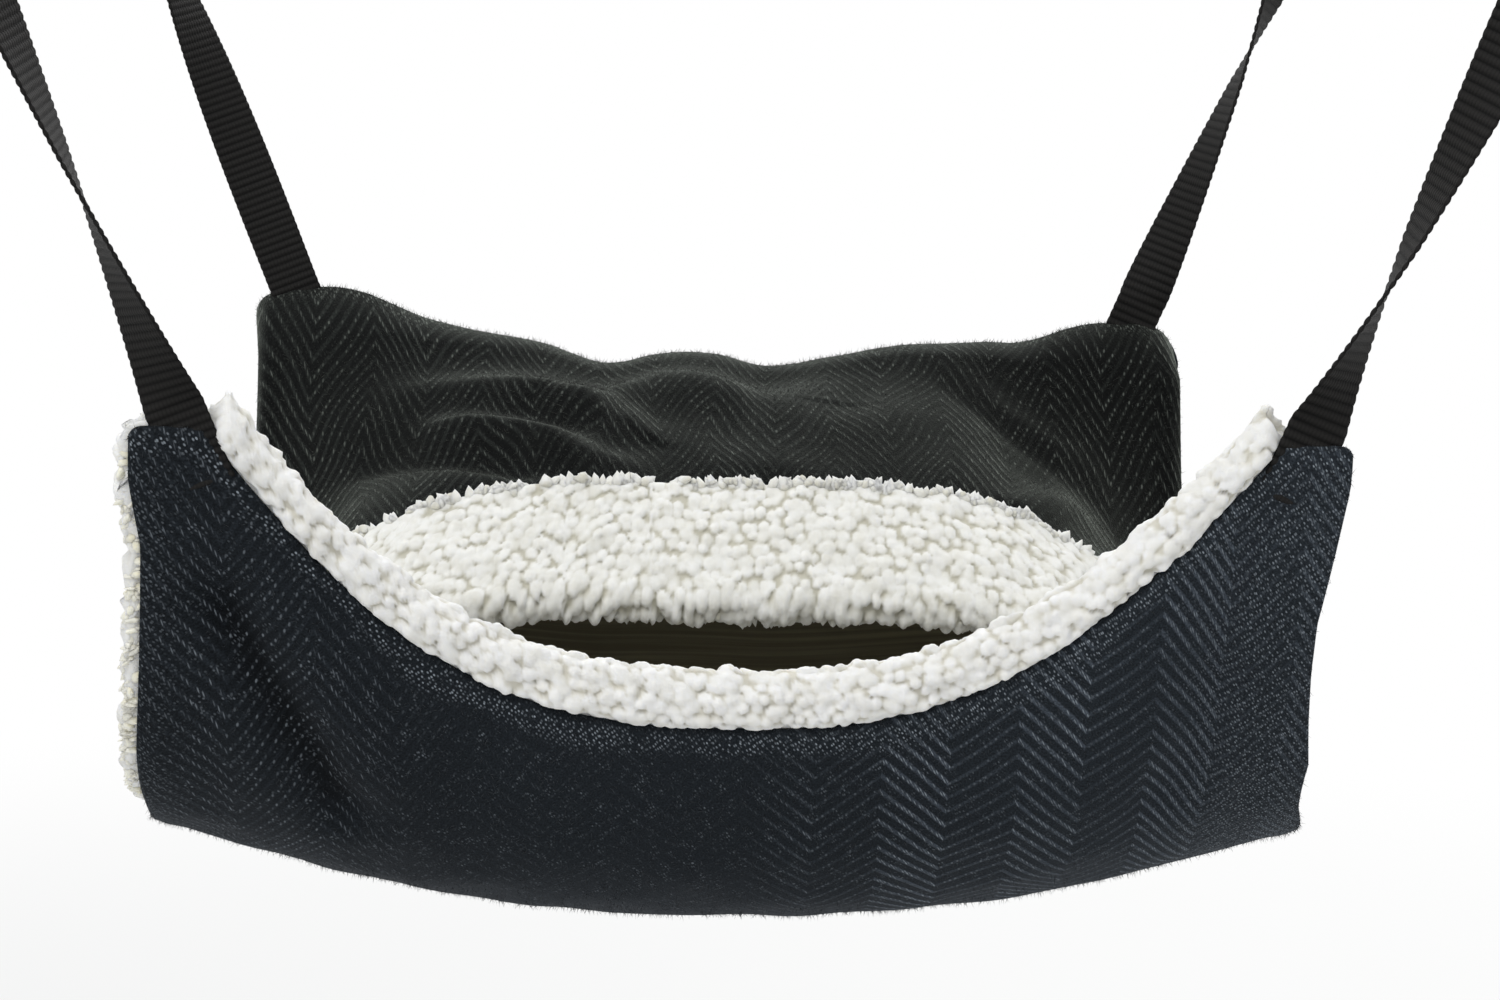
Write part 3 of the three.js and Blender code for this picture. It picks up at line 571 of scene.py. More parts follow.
    # The weave shows in patches, less in the lighter columns and less in the painted seam glints and
    # the rubbed side.
    patchy = add(tree, "MapRange", (patches, 0.38, 0.6, 0.5, 1.0))
    shown = add(tree, "Math", (clear, patchy), operation="MULTIPLY")
    weaker = add(tree, "Math", (bold, faint - 0.85, 0.85), operation="MULTIPLY_ADD")
    other_way = add(tree, "Math", (1.0, down), operation="SUBTRACT")
    both_ways = add(tree, "Math", (other_way, weaker, down), operation="MULTIPLY_ADD")
    shown = add(tree, "Math", (shown, both_ways), operation="MULTIPLY")
    kept = add(tree, "Math", (rubbed_and_glints, -0.6, 1.0), operation="MULTIPLY_ADD")
    shown = add(tree, "Math", (shown, kept), operation="MULTIPLY")
    woven = add(tree, "Math", (flecks, shown), operation="MULTIPLY")
    light = add(tree, "Math", (woven, loose), operation="MAXIMUM")
    marked = add(tree, "Math", (bold, 0.6 * line_share, 0.4 * line_share), operation="MULTIPLY_ADD")
    marked = add(tree, "Math", (marked, shown), operation="MULTIPLY")
    lined = add(tree, "Math", (on_row, marked), operation="MULTIPLY")
    # The nap mottles the ground and the lines, under the painted shade of the nap map; the flecks lie
    # on it.
    nap = add(tree, "TexNoise", {"Vector": cloth, "Scale": 1.5, "Detail": 3, "Roughness": 0.65})
    mottle = add(tree, "MapRange", (nap, 0.34, 0.66, 0.5, 1.5))
    mottle = add(tree, "Math", (mottle, painted_shade_tone), operation="MULTIPLY")
    base = add(tree, "Mix", {0: lined, 6: ground, 7: stroke}, data_type="RGBA")
    napped_and_shaded = add(tree, "VectorMath", {0: base.outputs[2], 3: mottle}, operation="SCALE")
    coloured = add(tree, "Mix", {0: light, 6: napped_and_shaded, 7: fleck}, data_type="RGBA")
    fleck_height = add(tree, "Math", (flecks, 0.4), operation="MULTIPLY")
    raised = add(tree, "Math", (lined, 0.6, fleck_height), operation="MULTIPLY_ADD")
    raised = add(tree, "Math", (nap, 0.5, raised), operation="MULTIPLY_ADD")
    bump = add(tree, "Bump", {"Height": raised, "Strength": 0.7, "Distance": 0.0008})
    settings = {
        "Base Color": coloured.outputs[2],
        "Roughness": 0.92,
        "IOR": 1.45,
        "Specular IOR Level": 0.1,
        "Sheen Weight": sheen,
        "Sheen Roughness": 0.35,
        "Sheen Tint": tint,
        "Normal": bump,
    }
    add(tree, "OutputMaterial", (add(tree, "BsdfPrincipled", settings),))
    return material


def loose_fibres(name, cloth, normal, seed):
    """Fibres that stand up from a grid of points, as thin spikes with three sides."""
    count, length, radius = 42000, 1.9, 0.11
    rng = np.random.default_rng(seed)
    rows = rng.integers(0, cloth.shape[0] - 1, count)
    columns = rng.integers(0, cloth.shape[1] - 1, count)
    roots = mix(cloth[rows, columns], cloth[rows + 1, columns + 1], rng.uniform(0, 1, (count, 1)))
    heading = unit(normal[rows, columns] + rng.normal(0, 0.7, (count, 3)))
    side = unit(np.cross(heading, rng.normal(0, 1, (count, 3))))
    third = np.cross(heading, side)
    reach = length * rng.uniform(0.3, 1.4, (count, 1))
    spike = np.zeros((count, 4, 3))
    for corner in range(3):
        angle = corner * 2 * math.pi / 3
        offset = side * math.cos(angle) + third * math.sin(angle)
        spike[:, corner] = roots - heading * 0.3 + offset * radius
    spike[:, 3] = roots + heading * reach
    one = np.array([(2, 1, 0), (0, 1, 3), (1, 2, 3), (2, 0, 3)])
    faces = one[None] + 4 * np.arange(count)[:, None, None]
    return piece_from(name, spike, faces.reshape(-1, 3).tolist())


def fibre_material(name, dull, lit):
    """Loose brushed fibres of the cloth's own yarn. They give the eye a soft fuzzy edge."""
    material, tree = empty_material(name)
    place = add(tree, "TexCoord")
    varied = add(tree, "TexNoise", {"Vector": place.outputs["Object"], "Scale": 400, "Detail": 1})
    share = add(tree, "MapRange", (varied, 0.35, 0.65))
    surface(tree, share, dull, lit, {"Roughness": 0.8, "IOR": 1.5})
    return material


sling_fuzz = loose_fibres("sling_fuzz", middle + outward * thick[..., None], outward, seed=61)
sling_fuzz.data.materials.append(fibre_material("loose_navy_fibre", "#1a1d20", "#363b40"))
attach(sling_fuzz, "root")
navy_colours = ("#1b1f23", "#363c43", "#868e95", "#c8d0dc")
navy_cloth = herringbone(
    "brushed_herringbone_navy",
    navy_colours,
    faint=0.42,
    line_share=1.0,
    rubbed_side=0.7,
    scattered=0.5,
    sheen=0.1,
)
sling_cloth.data.materials.append(navy_cloth)
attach(sling_cloth, "root")
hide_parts("sling_shell")


# Sherpa lining of the front wall
# Cream sherpa lines the front wall and is rolled over the front edge, where it makes a
# soft lumpy rim. It reaches a little past the left edge of the wall, with a ragged side.
SHERPA = 5.5
LINING_DEPTH = SHELL + PLY_GAP
LINING_END = 5 / 16


def nubs(a, b, pitch_a, pitch_b, seed):
    """Heights from 0 to 1 of a pile of rounded nubs on a jittered grid."""
    rng = np.random.default_rng(seed)
    cells_a = int(np.ceil((a.max() - a.min()) / pitch_a)) + 8
    cells_b = int(np.ceil((b.max() - b.min()) / pitch_b)) + 8
    jitter = rng.uniform(-0.33, 0.33, (cells_a, cells_b, 2))
    size = rng.uniform(0.72, 1.12, (cells_a, cells_b))
    tall = rng.uniform(0.6, 1.0, (cells_a, cells_b))
    ga = (a - a.min()) / pitch_a + 3
    gb = (b - b.min()) / pitch_b + 3
    height = np.zeros(np.broadcast(a, b).shape)
    for da in range(-2, 3):
        for db in range(-2, 3):
            ia = np.clip(np.floor(ga).astype(int) + da, 0, cells_a - 1)
            ib = np.clip(np.floor(gb).astype(int) + db, 0, cells_b - 1)
            shift = 0.5 * (ib % 2) - 0.25
            pa = ga - (ia + 0.5 + shift + jitter[ia, ib, 0])
            pb = gb - (ib + 0.5 + jitter[ia, ib, 1])
            far = (pa**2 + pb**2) / (size[ia, ib] * 0.7) ** 2
            height = np.maximum(height, tall[ia, ib] * np.sqrt(np.maximum(0, 1 - far)))
    return height


# The rolled rim in cross-section, from its top down: shares of its height, and how far it
# stands out in front of the edge and back behind it. It is flat where the straps pass it.
ROLL_HEIGHT = 19
ROLL_SHARES = [(1, -1.5, 0.5), (0.76, 0.35, 0.74), (0.38, 1, 0.86), (0.04, 0.3, 0.72)]
lining_columns = np.linspace(-1, 1, 420)
lining_u = lining_columns[None, :]
edge = front_edge(lining_u)
fade = 1 - smooth(np.abs(edge[..., 0]), 170, 178.5)
roll_height = mix(3.5, ROLL_HEIGHT, fade)
behind_strap = LINING_DEPTH + 1.4 + 2 * PLY_GAP
outer_rows, inner_rows = [], []
for up, out, back in ROLL_SHARES:
    out_by = mix(-behind_strap, 2.2 * out, fade)
    back_by = mix(behind_strap + SHERPA * back, 12 * back, fade)
    top = edge[..., 2] + PLY_GAP + roll_height * up
    outer_rows.append(points(edge[..., 0], edge[..., 1] - out_by, top))
    inner_rows.append(points(edge[..., 0], edge[..., 1] + back_by, top))
for share in np.linspace(0, LINING_END, 20):
    share_row = np.full_like(lining_u, share)
    wall = hanging_face(lining_u, share_row)
    inward = -normals_of(hanging_face, lining_u, share_row)
    outer_rows.append(wall + inward * LINING_DEPTH)
    inner_rows.append(wall + inward * (LINING_DEPTH + SHERPA))
ring = np.concatenate(outer_rows + inner_rows[::-1])


def smooth_ring(ring, shown, pitch, hidden_rows):
    """Closed cross-sections drawn again through a smooth curve of their points. Rows lie
    one pitch apart where the ring shows, at both its ends, and wide apart elsewhere."""
    before, after = np.roll(ring, 1, axis=0), np.roll(ring, -1, axis=0)
    after_two = np.roll(ring, -2, axis=0)
    pieces = []
    for s in np.linspace(0, 1, 8, endpoint=False):
        square = (2 * before - 5 * ring + 4 * after - after_two) * s**2
        cube = (3 * ring - before - 3 * after + after_two) * s**3
        pieces.append(0.5 * (2 * ring + (after - before) * s + square + cube))
    dense = np.stack(pieces, axis=1).reshape(-1, *ring.shape[1:])
    dense = np.concatenate([dense, dense[:1]])
    runs = run_of(dense)
    whole = runs[-1:]
    hidden = np.linspace(0, 1, hidden_rows + 2)[1:-1, None]
    first_rows = np.arange(0, shown, pitch)[:, None] + 0 * whole
    hidden_part = shown + hidden * (whole - 2 * shown)
    last_rows = whole - np.arange(shown, pitch / 2, -pitch)[:, None]
    wanted = np.concatenate([first_rows, hidden_part, last_rows])
    result = np.zeros((*wanted.shape, 3))
    for column in range(ring.shape[1]):
        for axis in range(3):
            line = dense[:, column, axis]
            result[:, column, axis] = np.interp(wanted[:, column], runs[:, column], line)
    return result, wanted


def ring_normals(ring):
    around = np.roll(ring, -1, axis=0) - np.roll(ring, 1, axis=0)
    across = np.gradient(ring, axis=1)
    return unit(np.cross(across, around))


def closed_ring_piece(name, ring, end_round, shade_by_pile_height):
    """A closed tube of cloth through cross-sections, with half round ends."""
    rows = ring.shape[0]
    centre_line = 0.5 * (ring + ring[(-np.arange(rows) - 1) % rows])

    def cap(end, sense, angle):
        squeezed = mix(centre_line[:, [end]], ring[:, [end]], math.cos(angle))
        return squeezed + [sense * end_round * math.sin(angle), 0, 0]

    angles = np.radians([75, 50, 25])
    left_cap = [cap(0, -1, angle) for angle in angles]
    right_cap = [cap(-1, 1, angle) for angle in angles[::-1]]
    whole = np.concatenate(left_cap + [ring] + right_cap, axis=1)
    index = np.arange(whole.size // 3).reshape(whole.shape[:2])
    # Each end is closed by rungs from its outer half to its inner half.
    rung = np.arange(rows // 2 - 1)
    left = [index[rung, 0], index[rung + 1, 0], index[-rung - 2, 0], index[-rung - 1, 0]]
    right = [index[rung, -1], index[-rung - 1, -1], index[-rung - 2, -1], index[rung + 1, -1]]
    sides = quads(np.concatenate([index, index[:1]]))
    faces = np.concatenate([sides, np.stack(left, axis=-1), np.stack(right, axis=-1)])
    heights = np.pad(shade_by_pile_height, ((0, 0), (3, 3)), mode="edge")
    return piece_from(name, whole, faces.tolist(), {"pile": twice(heights)})


rim, b_mm = smooth_ring(ring, shown=50, pitch=0.95, hidden_rows=56)
rim_normal = ring_normals(rim)
middle_section = rim[:, rim.shape[1] // 2]
middle_normals = rim_normal[:, rim.shape[1] // 2]
if (middle_normals * (middle_section - middle_section.mean(axis=0))).sum() < 0:
    rim_normal = -rim_normal
a_mm = rim[..., 0]
edge_line = front_edge(lining_columns)
edge_run = run_of(edge_line)
slope = np.clip(np.gradient(edge_line[:, 2], edge_run), -0.9, 0.9)
along_edge = edge_run + slope * (rim[..., 2] - edge_line[:, 2])
down_roll = b_mm * np.sqrt(1 - slope**2)
lumps = nubs(along_edge, down_roll, pitch_a=7.5, pitch_b=6.5, seed=21)
curls = nubs(along_edge, down_roll, pitch_a=4.2, pitch_b=3.9, seed=22)
swell = 1.6 * lumps + 2.3 * curls + 0.5 * ripples(a_mm, b_mm, 16, 23) - 1.7
level_of_edge = front_edge(np.broadcast_to(lining_columns, a_mm.shape))[..., 2]
clear_of_cloth = smooth(rim[..., 2] - level_of_edge, -1.0, 2.5)
facing_in = smooth((rim_normal * [0, 1, 0]).sum(axis=-1), -0.2, 0.3)
near_ends = smooth(np.abs(a_mm), 176, 181)
show = np.maximum(clear_of_cloth, facing_in) * mix(1, 0.35, near_ends)
ragged = ripples(b_mm, 0 * b_mm, 8, 29)
past_side = (1.4 * ragged - 1.6) * smooth(-a_mm, 184, 199) - 6.5 * smooth(a_mm, 182, 199)
rim_shape = rim + rim_normal * (swell * show)[..., None] + past_side[..., None] * np.array([1, 0, 0])
rim_shape[..., 2] -= 0.5 * curls * show
# The pile map is low between the nubs, where the material paints shade.
shade_by_pile_height = mix(0.75, curls, show)
rim_sherpa = closed_ring_piece("rim_sherpa", rim_shape, end_round=2.2, shade_by_pile_height=shade_by_pile_height)


def teardrops(name, centres, down, out, length, width, seed):
    """Pile tufts, one at each centre: fat at the root and tapered along down."""
    rng = np.random.default_rng(seed)
    height, sides = 4.0, 8
    stations = np.array([-0.94, -0.55, 0.0, 0.5, 0.88])
    radii = np.sqrt(1 - stations**2) * (0.95 - 0.34 * stations)
    count = len(centres)
    across = unit(np.cross(down, out))
    long, wide, high = np.split(rng.uniform(0.75, 1.25, (count, 3)), 3, axis=1)
    body = np.zeros((count, len(stations), sides, 3))
    for k, (station, radius) in enumerate(zip(stations, radii)):
        wobble = rng.uniform(0.8, 1.18, (count, sides))
        axis_point = centres + down * (station * length / 2 * long)
        axis_point = axis_point + out * (0.2 * height * station * (station > 0))
        for s, angle in enumerate(2 * math.pi * np.arange(sides) / sides):
            reach = (radius * wobble[:, s : s + 1]) / 2
            beside_axis = across * (reach * width * wide * math.cos(angle))
            body[:, k, s] = axis_point + beside_axis + out * (reach * height * high * math.sin(angle))
    start = centres - down * (length / 2 * long)
    end = centres + down * (length * 0.58 * long) + out * (0.25 * height)
    vertices = np.concatenate([body.reshape(count, -1, 3), start[:, None], end[:, None]], axis=1)
    per = vertices.shape[1]
    grid = np.arange(per - 2).reshape(len(stations), sides)
    grid = np.concatenate([grid, grid[:, :1]], axis=1)
    one = quads(grid).tolist()
    one += [(b, a, per - 2) for a, b in zip(grid[0], grid[0, 1:])]
    one += [(a, b, per - 1) for a, b in zip(grid[-1], grid[-1, 1:])]
    faces = [tuple(v + k * per for v in face) for k in range(count) for face in one]
    along = np.concatenate([np.repeat(stations, sides), [-1, 1]])
    # Each tuft darkens towards its root end: painted shade, partly the roots' own tone.
    return piece_from(name, vertices, faces, {"pile": twice(np.tile(0.62 + 0.38 * along, count))})


# Loose tufts stand out along the left side of the wall, where the pile was cut.
TUFTS = 240
rng = np.random.default_rng(24)
left = np.full(TUFTS, -1.0)
share = rng.uniform(0, LINING_END, TUFTS)
inward = -normals_of(hanging_face, left, share)
deep = LINING_DEPTH + rng.uniform(0.5, SHERPA, (TUFTS, 1))
aside = np.array([-1, 0, 0]) * rng.uniform(-0.8, 2.6, (TUFTS, 1))
centres = hanging_face(left, share) + inward * deep + aside
downs = unit([-0.5, 0, -0.8] + rng.normal(0, 0.4, centres.shape))
outs = unit([-1, 0, 0.3] + rng.normal(0, 0.2, centres.shape))
rim_tufts = teardrops("rim_tufts", centres, downs, outs, length=4.4, width=4.4, seed=25)


def sherpa_material(name, tips, roots):
    """Sherpa fleece: curled polyester pile in soft nubs. It gives the eye a matt cream
    surface with a fine curled grain. Low in the pile it is darker and warmer, partly the
    roots' own tone and partly painted shade between the nubs."""
    material, tree = empty_material(name)
    place = add(tree, "TexCoord").outputs["Object"]
    curls = {"Vector": place, "Scale": 1300, "Detail": 3, "Roughness": 0.6, "Distortion": 1.5}
    curl = add(tree, "TexNoise", curls)
    clump = add(tree, "TexNoise", {"Vector": place, "Scale": 170, "Detail": 2})
    height = add(tree, "SeparateXYZ", (add(tree, "UVMap", uv_map="pile"),))
    patchy = add(tree, "MapRange", (clump, 0.3, 0.6, 0.65, 1.0))
    # Painted shade: the colour darkens where the pile map is low, between the nubs, partly the roots'
    # own tone.
    high = add(tree, "MapRange", (height, 0.05, 0.6))
    share = add(tree, "Math", (high, patchy), operation="MULTIPLY")
    relief = add(tree, "Math", (clump, 1.2, curl), operation="MULTIPLY_ADD")
    settings = {
        "Roughness": 0.95,
        "IOR": 1.45,
        "Specular IOR Level": 0.1,
        "Subsurface Weight": 0.6,
        "Subsurface Radius": (1.0, 0.97, 0.88),
        "Subsurface Scale": 0.0014,
        "Sheen Weight": 0.1,
        "Sheen Roughness": 0.5,
    }
    surface(tree, share, roots, tips, settings, relief, strength=0.75, depth=0.0007)
    return material


sherpa_cream = sherpa_material("sherpa_fleece_cream", "#f6f6f3", "#dedbce")
rim_sherpa.data.materials.append(sherpa_cream)
# The loose left tufts take a lighter, yellower copy of the sherpa: painted backlight glowing through
# the pile.
rim_tufts.data.materials.append(sherpa_material("sherpa_fleece_painted_backlight", "#fdf9e8", "#ece5c9"))
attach(rim_tufts, "root")
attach(rim_sherpa, "root")
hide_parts("rim_lining")


# Dark lining of the pocket
# Smooth brown-black lining cloth covers the pocket's floor and back wall, and shows only
# as a dark strip in the slit of the mouth. It is partly a real lining and partly a dark
# sheet that stands in for the shade inside the pocket.
FLOOR_CLOTH = 2.0
FLOOR_SPAN = 0.993
FLOOR_HALF_WIDTH = 190
floor_start = LINING_END + 0.03 / 16
t_floor = even_shares(hanging_face, 3.4, floor_start, FLOOR_SPAN)
t_floor = np.concatenate([[floor_start, floor_start + 0.0008], t_floor[1:-1], [0.9927, FLOOR_SPAN]])
u_floor = np.concatenate([[-FLOOR_SPAN, -0.991], np.linspace(-0.982, 0.982, 110), [0.991, FLOOR_SPAN]])
u, t = np.meshgrid(u_floor, t_floor)
face = hanging_face(u, t)
outward = normals_of(hanging_face, u, t)
run = run_of(face)
from_side = (1 - np.abs(u)) * FLOOR_HALF_WIDTH
calm = smooth(run, 6, 40) * smooth(run[-1:] - run, 6, 40) * smooth(from_side, 0, 26)
soft = 0.5 * (ripples(face[..., 0], run, 70, 31) - 1.5)
depth = LINING_DEPTH + FLOOR_CLOTH / 2 - np.minimum(0, soft) * calm * 0.8
half = FLOOR_CLOTH / 2 * edge_rounding(from_edges(run, from_side), 1)
middle = face - outward * depth[..., None]
floor_maps = {"weave": np.stack([face[..., 0], run], axis=-1)}
pocket_lining_and_shade = closed_ply("pocket_lining_and_shade", middle, outward, half, floor_maps, flip=True)

# Calendered polyester taffeta: a dull brown-black cloth. Its faint lighter lines across are
# painted sheen.
dark_lining_and_shade, tree = empty_material("dark_lining_and_painted_shade")
weave = add(tree, "UVMap", uv_map="weave")
stretched = add(tree, "VectorMath", (weave, (0.008, 0.6, 1)), operation="MULTIPLY")
painted_sheen_streaks = add(tree, "TexNoise", {"Vector": stretched, "Scale": 1, "Detail": 2})
yarns = add(tree, "TexNoise", {"Vector": weave, "Scale": 2.5, "Detail": 2})
tone_and_painted_light = add(tree, "MapRange", (painted_sheen_streaks, 0.4, 0.72, 0.0, 1.0))
relief = add(tree, "Math", (painted_sheen_streaks, 0.6, yarns), operation="MULTIPLY_ADD")
settings = {"Roughness": 0.62, "IOR": 1.45, "Sheen Weight": 0.1}
surface(tree, tone_and_painted_light, "#5a5542", "#746e58", settings, relief, strength=0.3, depth=0.0004)
pocket_lining_and_shade.data.materials.append(dark_lining_and_shade)
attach(pocket_lining_and_shade, "root")
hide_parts("pocket_floor")


# Outer ply of the cover
# A second panel of the herringbone cloth roofs the back of the pocket. It is sewn into
# the back edge, hangs in soft folds, and is folded under its turned-back cuff. Each broad
# fold is given by the two ends of its crest, seen from above, and its height.
COVER_WIDTH = SLING_WIDTH_BACK - 18
COVER_TOP_WIDTH = SLING_WIDTH_BACK - 3
COVER_TOTAL = SHELL + 2 * PLY_GAP + SHERPA
COVER_SET_BACK = LINING_DEPTH + FLOOR_CLOTH + 2 * PLY_GAP
COVER_DROP = 61
COVER_SIDE_DROP = 138
LIP_Y = -20
LIP_SIDES_FORWARD = 42
CUFF_WIDTH = 52
CUFF_EDGE_Y = 26
BROAD_FOLDS = [
    ((-172.0, 44.6), (-51.2, 27.0), 5.0),
    ((-172.0, 63.5), (-64.1, 94.5), 3.5),
    ((95.2, 128.3), (146.4, -6.8), -2.0),
    ((-22.0, 132.3), (-9.2, 67.5), 3.0),
]


def broad_folds(x, y):
    return sum(height * trough(x, y, start, end, 15) for start, end, height in BROAD_FOLDS)


def cover_base(u, t, folds):
    """The cover from the back edge, t = 0, to the fold of its cuff, t = 1."""
    narrowed = mix(COVER_TOP_WIDTH, COVER_WIDTH, smooth(t, 0.35, 0.8))
    x = u * narrowed / 2 + 2.2 * np.clip(-u, 0, 1) ** 6
    bend = np.abs(u) ** 3
    tuck = COVER_TOTAL * np.minimum(1, 4 * bend)
    y = mix(back_edge(u)[..., 1] - COVER_SET_BACK - tuck, LIP_Y - LIP_SIDES_FORWARD * bend, t)
    side_z = -mix(12, COVER_SIDE_DROP, np.sin(math.pi / 2 * np.minimum(1, t / 0.42)))
    smoothed_out = pucker_at(u * SLING_WIDTH_BACK / 2) * (1 - hump(t, 0, 0.28))
    seam_roll = 4.0 * hump(t, 0, 0.075)
    top_z = back_edge(u)[..., 2] - smoothed_out - 2.5 - COVER_DROP * t**2 + seam_roll
    calm = np.sin(math.pi * t) * (1 - bend)
    return points(x, y, mix(top_z, side_z, bend) + folds(x, y) * calm)


# Each ridge: plan points of its crest from left to right, its height, and how far it runs
# out behind and in front.
RIDGES = [
    ([(-176, 105), (-153, 95), (-138, 86), (-102, 62), (-77, 48), (-64, 37), (-54, 28)], 12.0, 20, 6),
    ([(-148, 101), (-128, 91), (-111, 91), (-93, 89), (-73, 80), (-43, 62)], 10.0, 14, 8),
    ([(91, 120), (102, 106), (114, 94), (127, 88), (136, 85), (149, 85), (161, 80)], 4.0, 7, 5),
    ([(102, 23), (113, 27), (136, 51), (148, 62)], 6.0, 10, 6),
    ([(-49, 89), (-25, 101), (-1, 91), (15, 89)], 6.0, 14, 14),
]


def crest_fold(x, y, crest, height, behind, front):
    """A terrace along a crest line: flat behind it, steep in front and hollow at its foot."""
    crest = np.array(crest, float)
    runs = run_of(crest)
    best = np.full(np.shape(x), 1e9)
    ahead_of, share_along = 0 * best, 0 * best
    for k in range(len(crest) - 1):
        share, gap, side = beside(x, y, crest[k], crest[k + 1])
        nearer = gap < best
        best = np.where(nearer, gap, best)
        ahead_of = np.where(nearer, -np.sign(side) * gap, ahead_of)
        share_along = np.where(nearer, mix(runs[k], runs[k + 1], share) / runs[-1], share_along)
    body = hump(ahead_of, 0, np.where(ahead_of < 0, behind, front))
    foot = 0.5 * hump(ahead_of, 2.1 * front, 1.1 * front) * (ahead_of > 0)
    ends = smooth(share_along, 0, 0.18) * smooth(1 - share_along, 0, 0.15)
    return height * (body - foot) * mix(0.35, 1, ends)


def all_folds(x, y):
    """The broad folds, and behind the cuff the ridges and small ripples as well."""
    fine = sum(crest_fold(x, y, *ridge) for ridge in RIDGES) + 0.7 * ripples(x, y, 46, 41)
    sideways = np.minimum(1, np.abs(x) / (COVER_WIDTH / 2))
    cuff_edge_y = CUFF_EDGE_Y - LIP_SIDES_FORWARD * sideways**3
    return 0.6 * broad_folds(x, y) + fine * smooth(y - cuff_edge_y, -1, 13)


def cover_face(u, t):
    return cover_base(u, t, all_folds)


def cuff_starts(u_values):
    """The share of the cover where the cuff's free edge lies, for each column."""
    fine = np.linspace(1, 0, 240)
    starts = []
    for value in u_values:
        line = cover_base(np.full_like(fine, value), fine, broad_folds)
        starts.append(np.interp(CUFF_WIDTH, run_of(line), fine))
    return np.array(starts)


def under_shares(pitch):
    """The shares of the cover at which its rows lie, from the back edge to the fold."""
    return even_shares(cover_face, pitch, 0.025, 1.0)


def cover_path(u_values, height, pitch, lip_rows, cuff_rows, back_rows=0):
    """A grid that runs along under the fold, round the lip and back over as the cuff, at
    a height from the fold, with the normals that point away from the fold. With back rows
    it starts over the seam of the back edge, which it is turned into."""
    starts = cuff_starts(u_values)
    rows, normals = [], []
    seam = back_edge(u_values) * [COVER_TOP_WIDTH / SLING_WIDTH_BACK, 1, 1] + [0, -2.4, -1.8]
    for angle in np.radians(np.linspace(205, 96, back_rows)):
        direction = np.array([0, -math.cos(angle), math.sin(angle)])
        rows.append(seam + direction * 3.3)
        normals.append(np.broadcast_to(-direction, seam.shape))
    for share in under_shares(pitch):
        t_row = np.full_like(u_values, share)
        up = normals_of(cover_face, u_values, t_row)
        rows.append(cover_face(u_values, t_row) - up * height)
        normals.append(-up)
    ends = np.ones_like(u_values)
    lip = cover_face(u_values, ends)
    above = normals_of(cover_face, u_values, ends)
    forward = lip - cover_face(u_values, ends * 0.985)
    forward = unit(forward - above * (forward * above).sum(axis=-1, keepdims=True))
    for angle in np.linspace(-math.pi / 2, math.pi / 2, lip_rows + 2)[1:-1]:
        direction = forward * math.cos(angle) + above * math.sin(angle)
        rows.append(lip + direction * height)
        normals.append(direction)
    for share in np.linspace(0, 1, cuff_rows):
        t_row = mix(1.0, starts, share)
        up = normals_of(cover_face, u_values, t_row)
        rows.append(cover_face(u_values, t_row) + up * height)
        normals.append(up)
    return np.array(rows), np.array(normals)


BACK_ROWS, LIP_ROWS, CUFF_ROWS = 12, 4, 12
near_side = np.array([-1, -0.9985, -0.995, -0.99])
u_cover = np.concatenate([near_side, np.linspace(-0.982, 0.982, 190), -near_side[::-1]])
mid_height = PLY_GAP / 2 + SHELL / 2
cover_grid, cover_normal = cover_path(u_cover, mid_height, 1.7, LIP_ROWS, CUFF_ROWS, BACK_ROWS)
cover_run = run_of(cover_grid)
cover_x = cover_grid[..., 0]
cover_side = (1 - np.abs(u_cover)) * COVER_WIDTH / 2 + 0 * cover_run
cover_edge = from_edges(cover_run, cover_side)
side_roll = 3.4 * hump(cover_side, 4.6, 3.2) * smooth(cover_run, 6, 20)
side_roll = side_roll * np.where(u_cover < 0, 1.0, 0.5) * (1 - smooth(cover_run, 120, 170))
cover_half = (SHELL / 2 + side_roll) * edge_rounding(cover_edge, np.maximum(1.1, 1.1 + side_roll))
# The twill lines lie further apart down this cloth, and small pulls bend them more.
pull_x, pull_y = ripples(cover_x, cover_run, 50, 42), ripples(cover_run, cover_x, 50, 43)
cover_weave = np.stack([cover_x + 6 + pull_x, cover_run * 0.7 + pull_y], axis=-1)
# Painted shade across the cover: lighter towards the left and darker towards the right, for how light
# falls on it.
painted_side_shade = 1.1 + 0.2 * smooth(-cover_x, 60, 150) - 0.4 * smooth(cover_x, 60, 150)
cover_maps = {
    "weave": cover_weave,
    "seam": np.stack([cover_side, np.minimum(cover_run, 60)], axis=-1),
    "wear": np.zeros_like(cover_weave) + [0, 0.85],
    "nap": np.stack([painted_side_shade, 1.3 + 0 * painted_side_shade], axis=-1),
}
cover_cloth = closed_ply("cover_cloth", cover_grid, cover_normal, cover_half, cover_maps)
# The cover's cloth is the sling's herringbone again, coloured darker and greyer: painted shade for how
# light falls on the cover.
shaded_copy_colours = ("#0e0f0f", "#2a2d2b", "#6a6f69", "#a5aca2")
herringbone_shaded_copy = herringbone(
    "brushed_herringbone_shaded_copy",
    shaded_copy_colours,
    faint=1.0,
    line_share=1.5,
    rubbed_side=0.1,
    scattered=0.12,
    sheen=0.8,
)
cover_cloth.data.materials.append(herringbone_shaded_copy)
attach(cover_cloth, "root")
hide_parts("cover_shell")
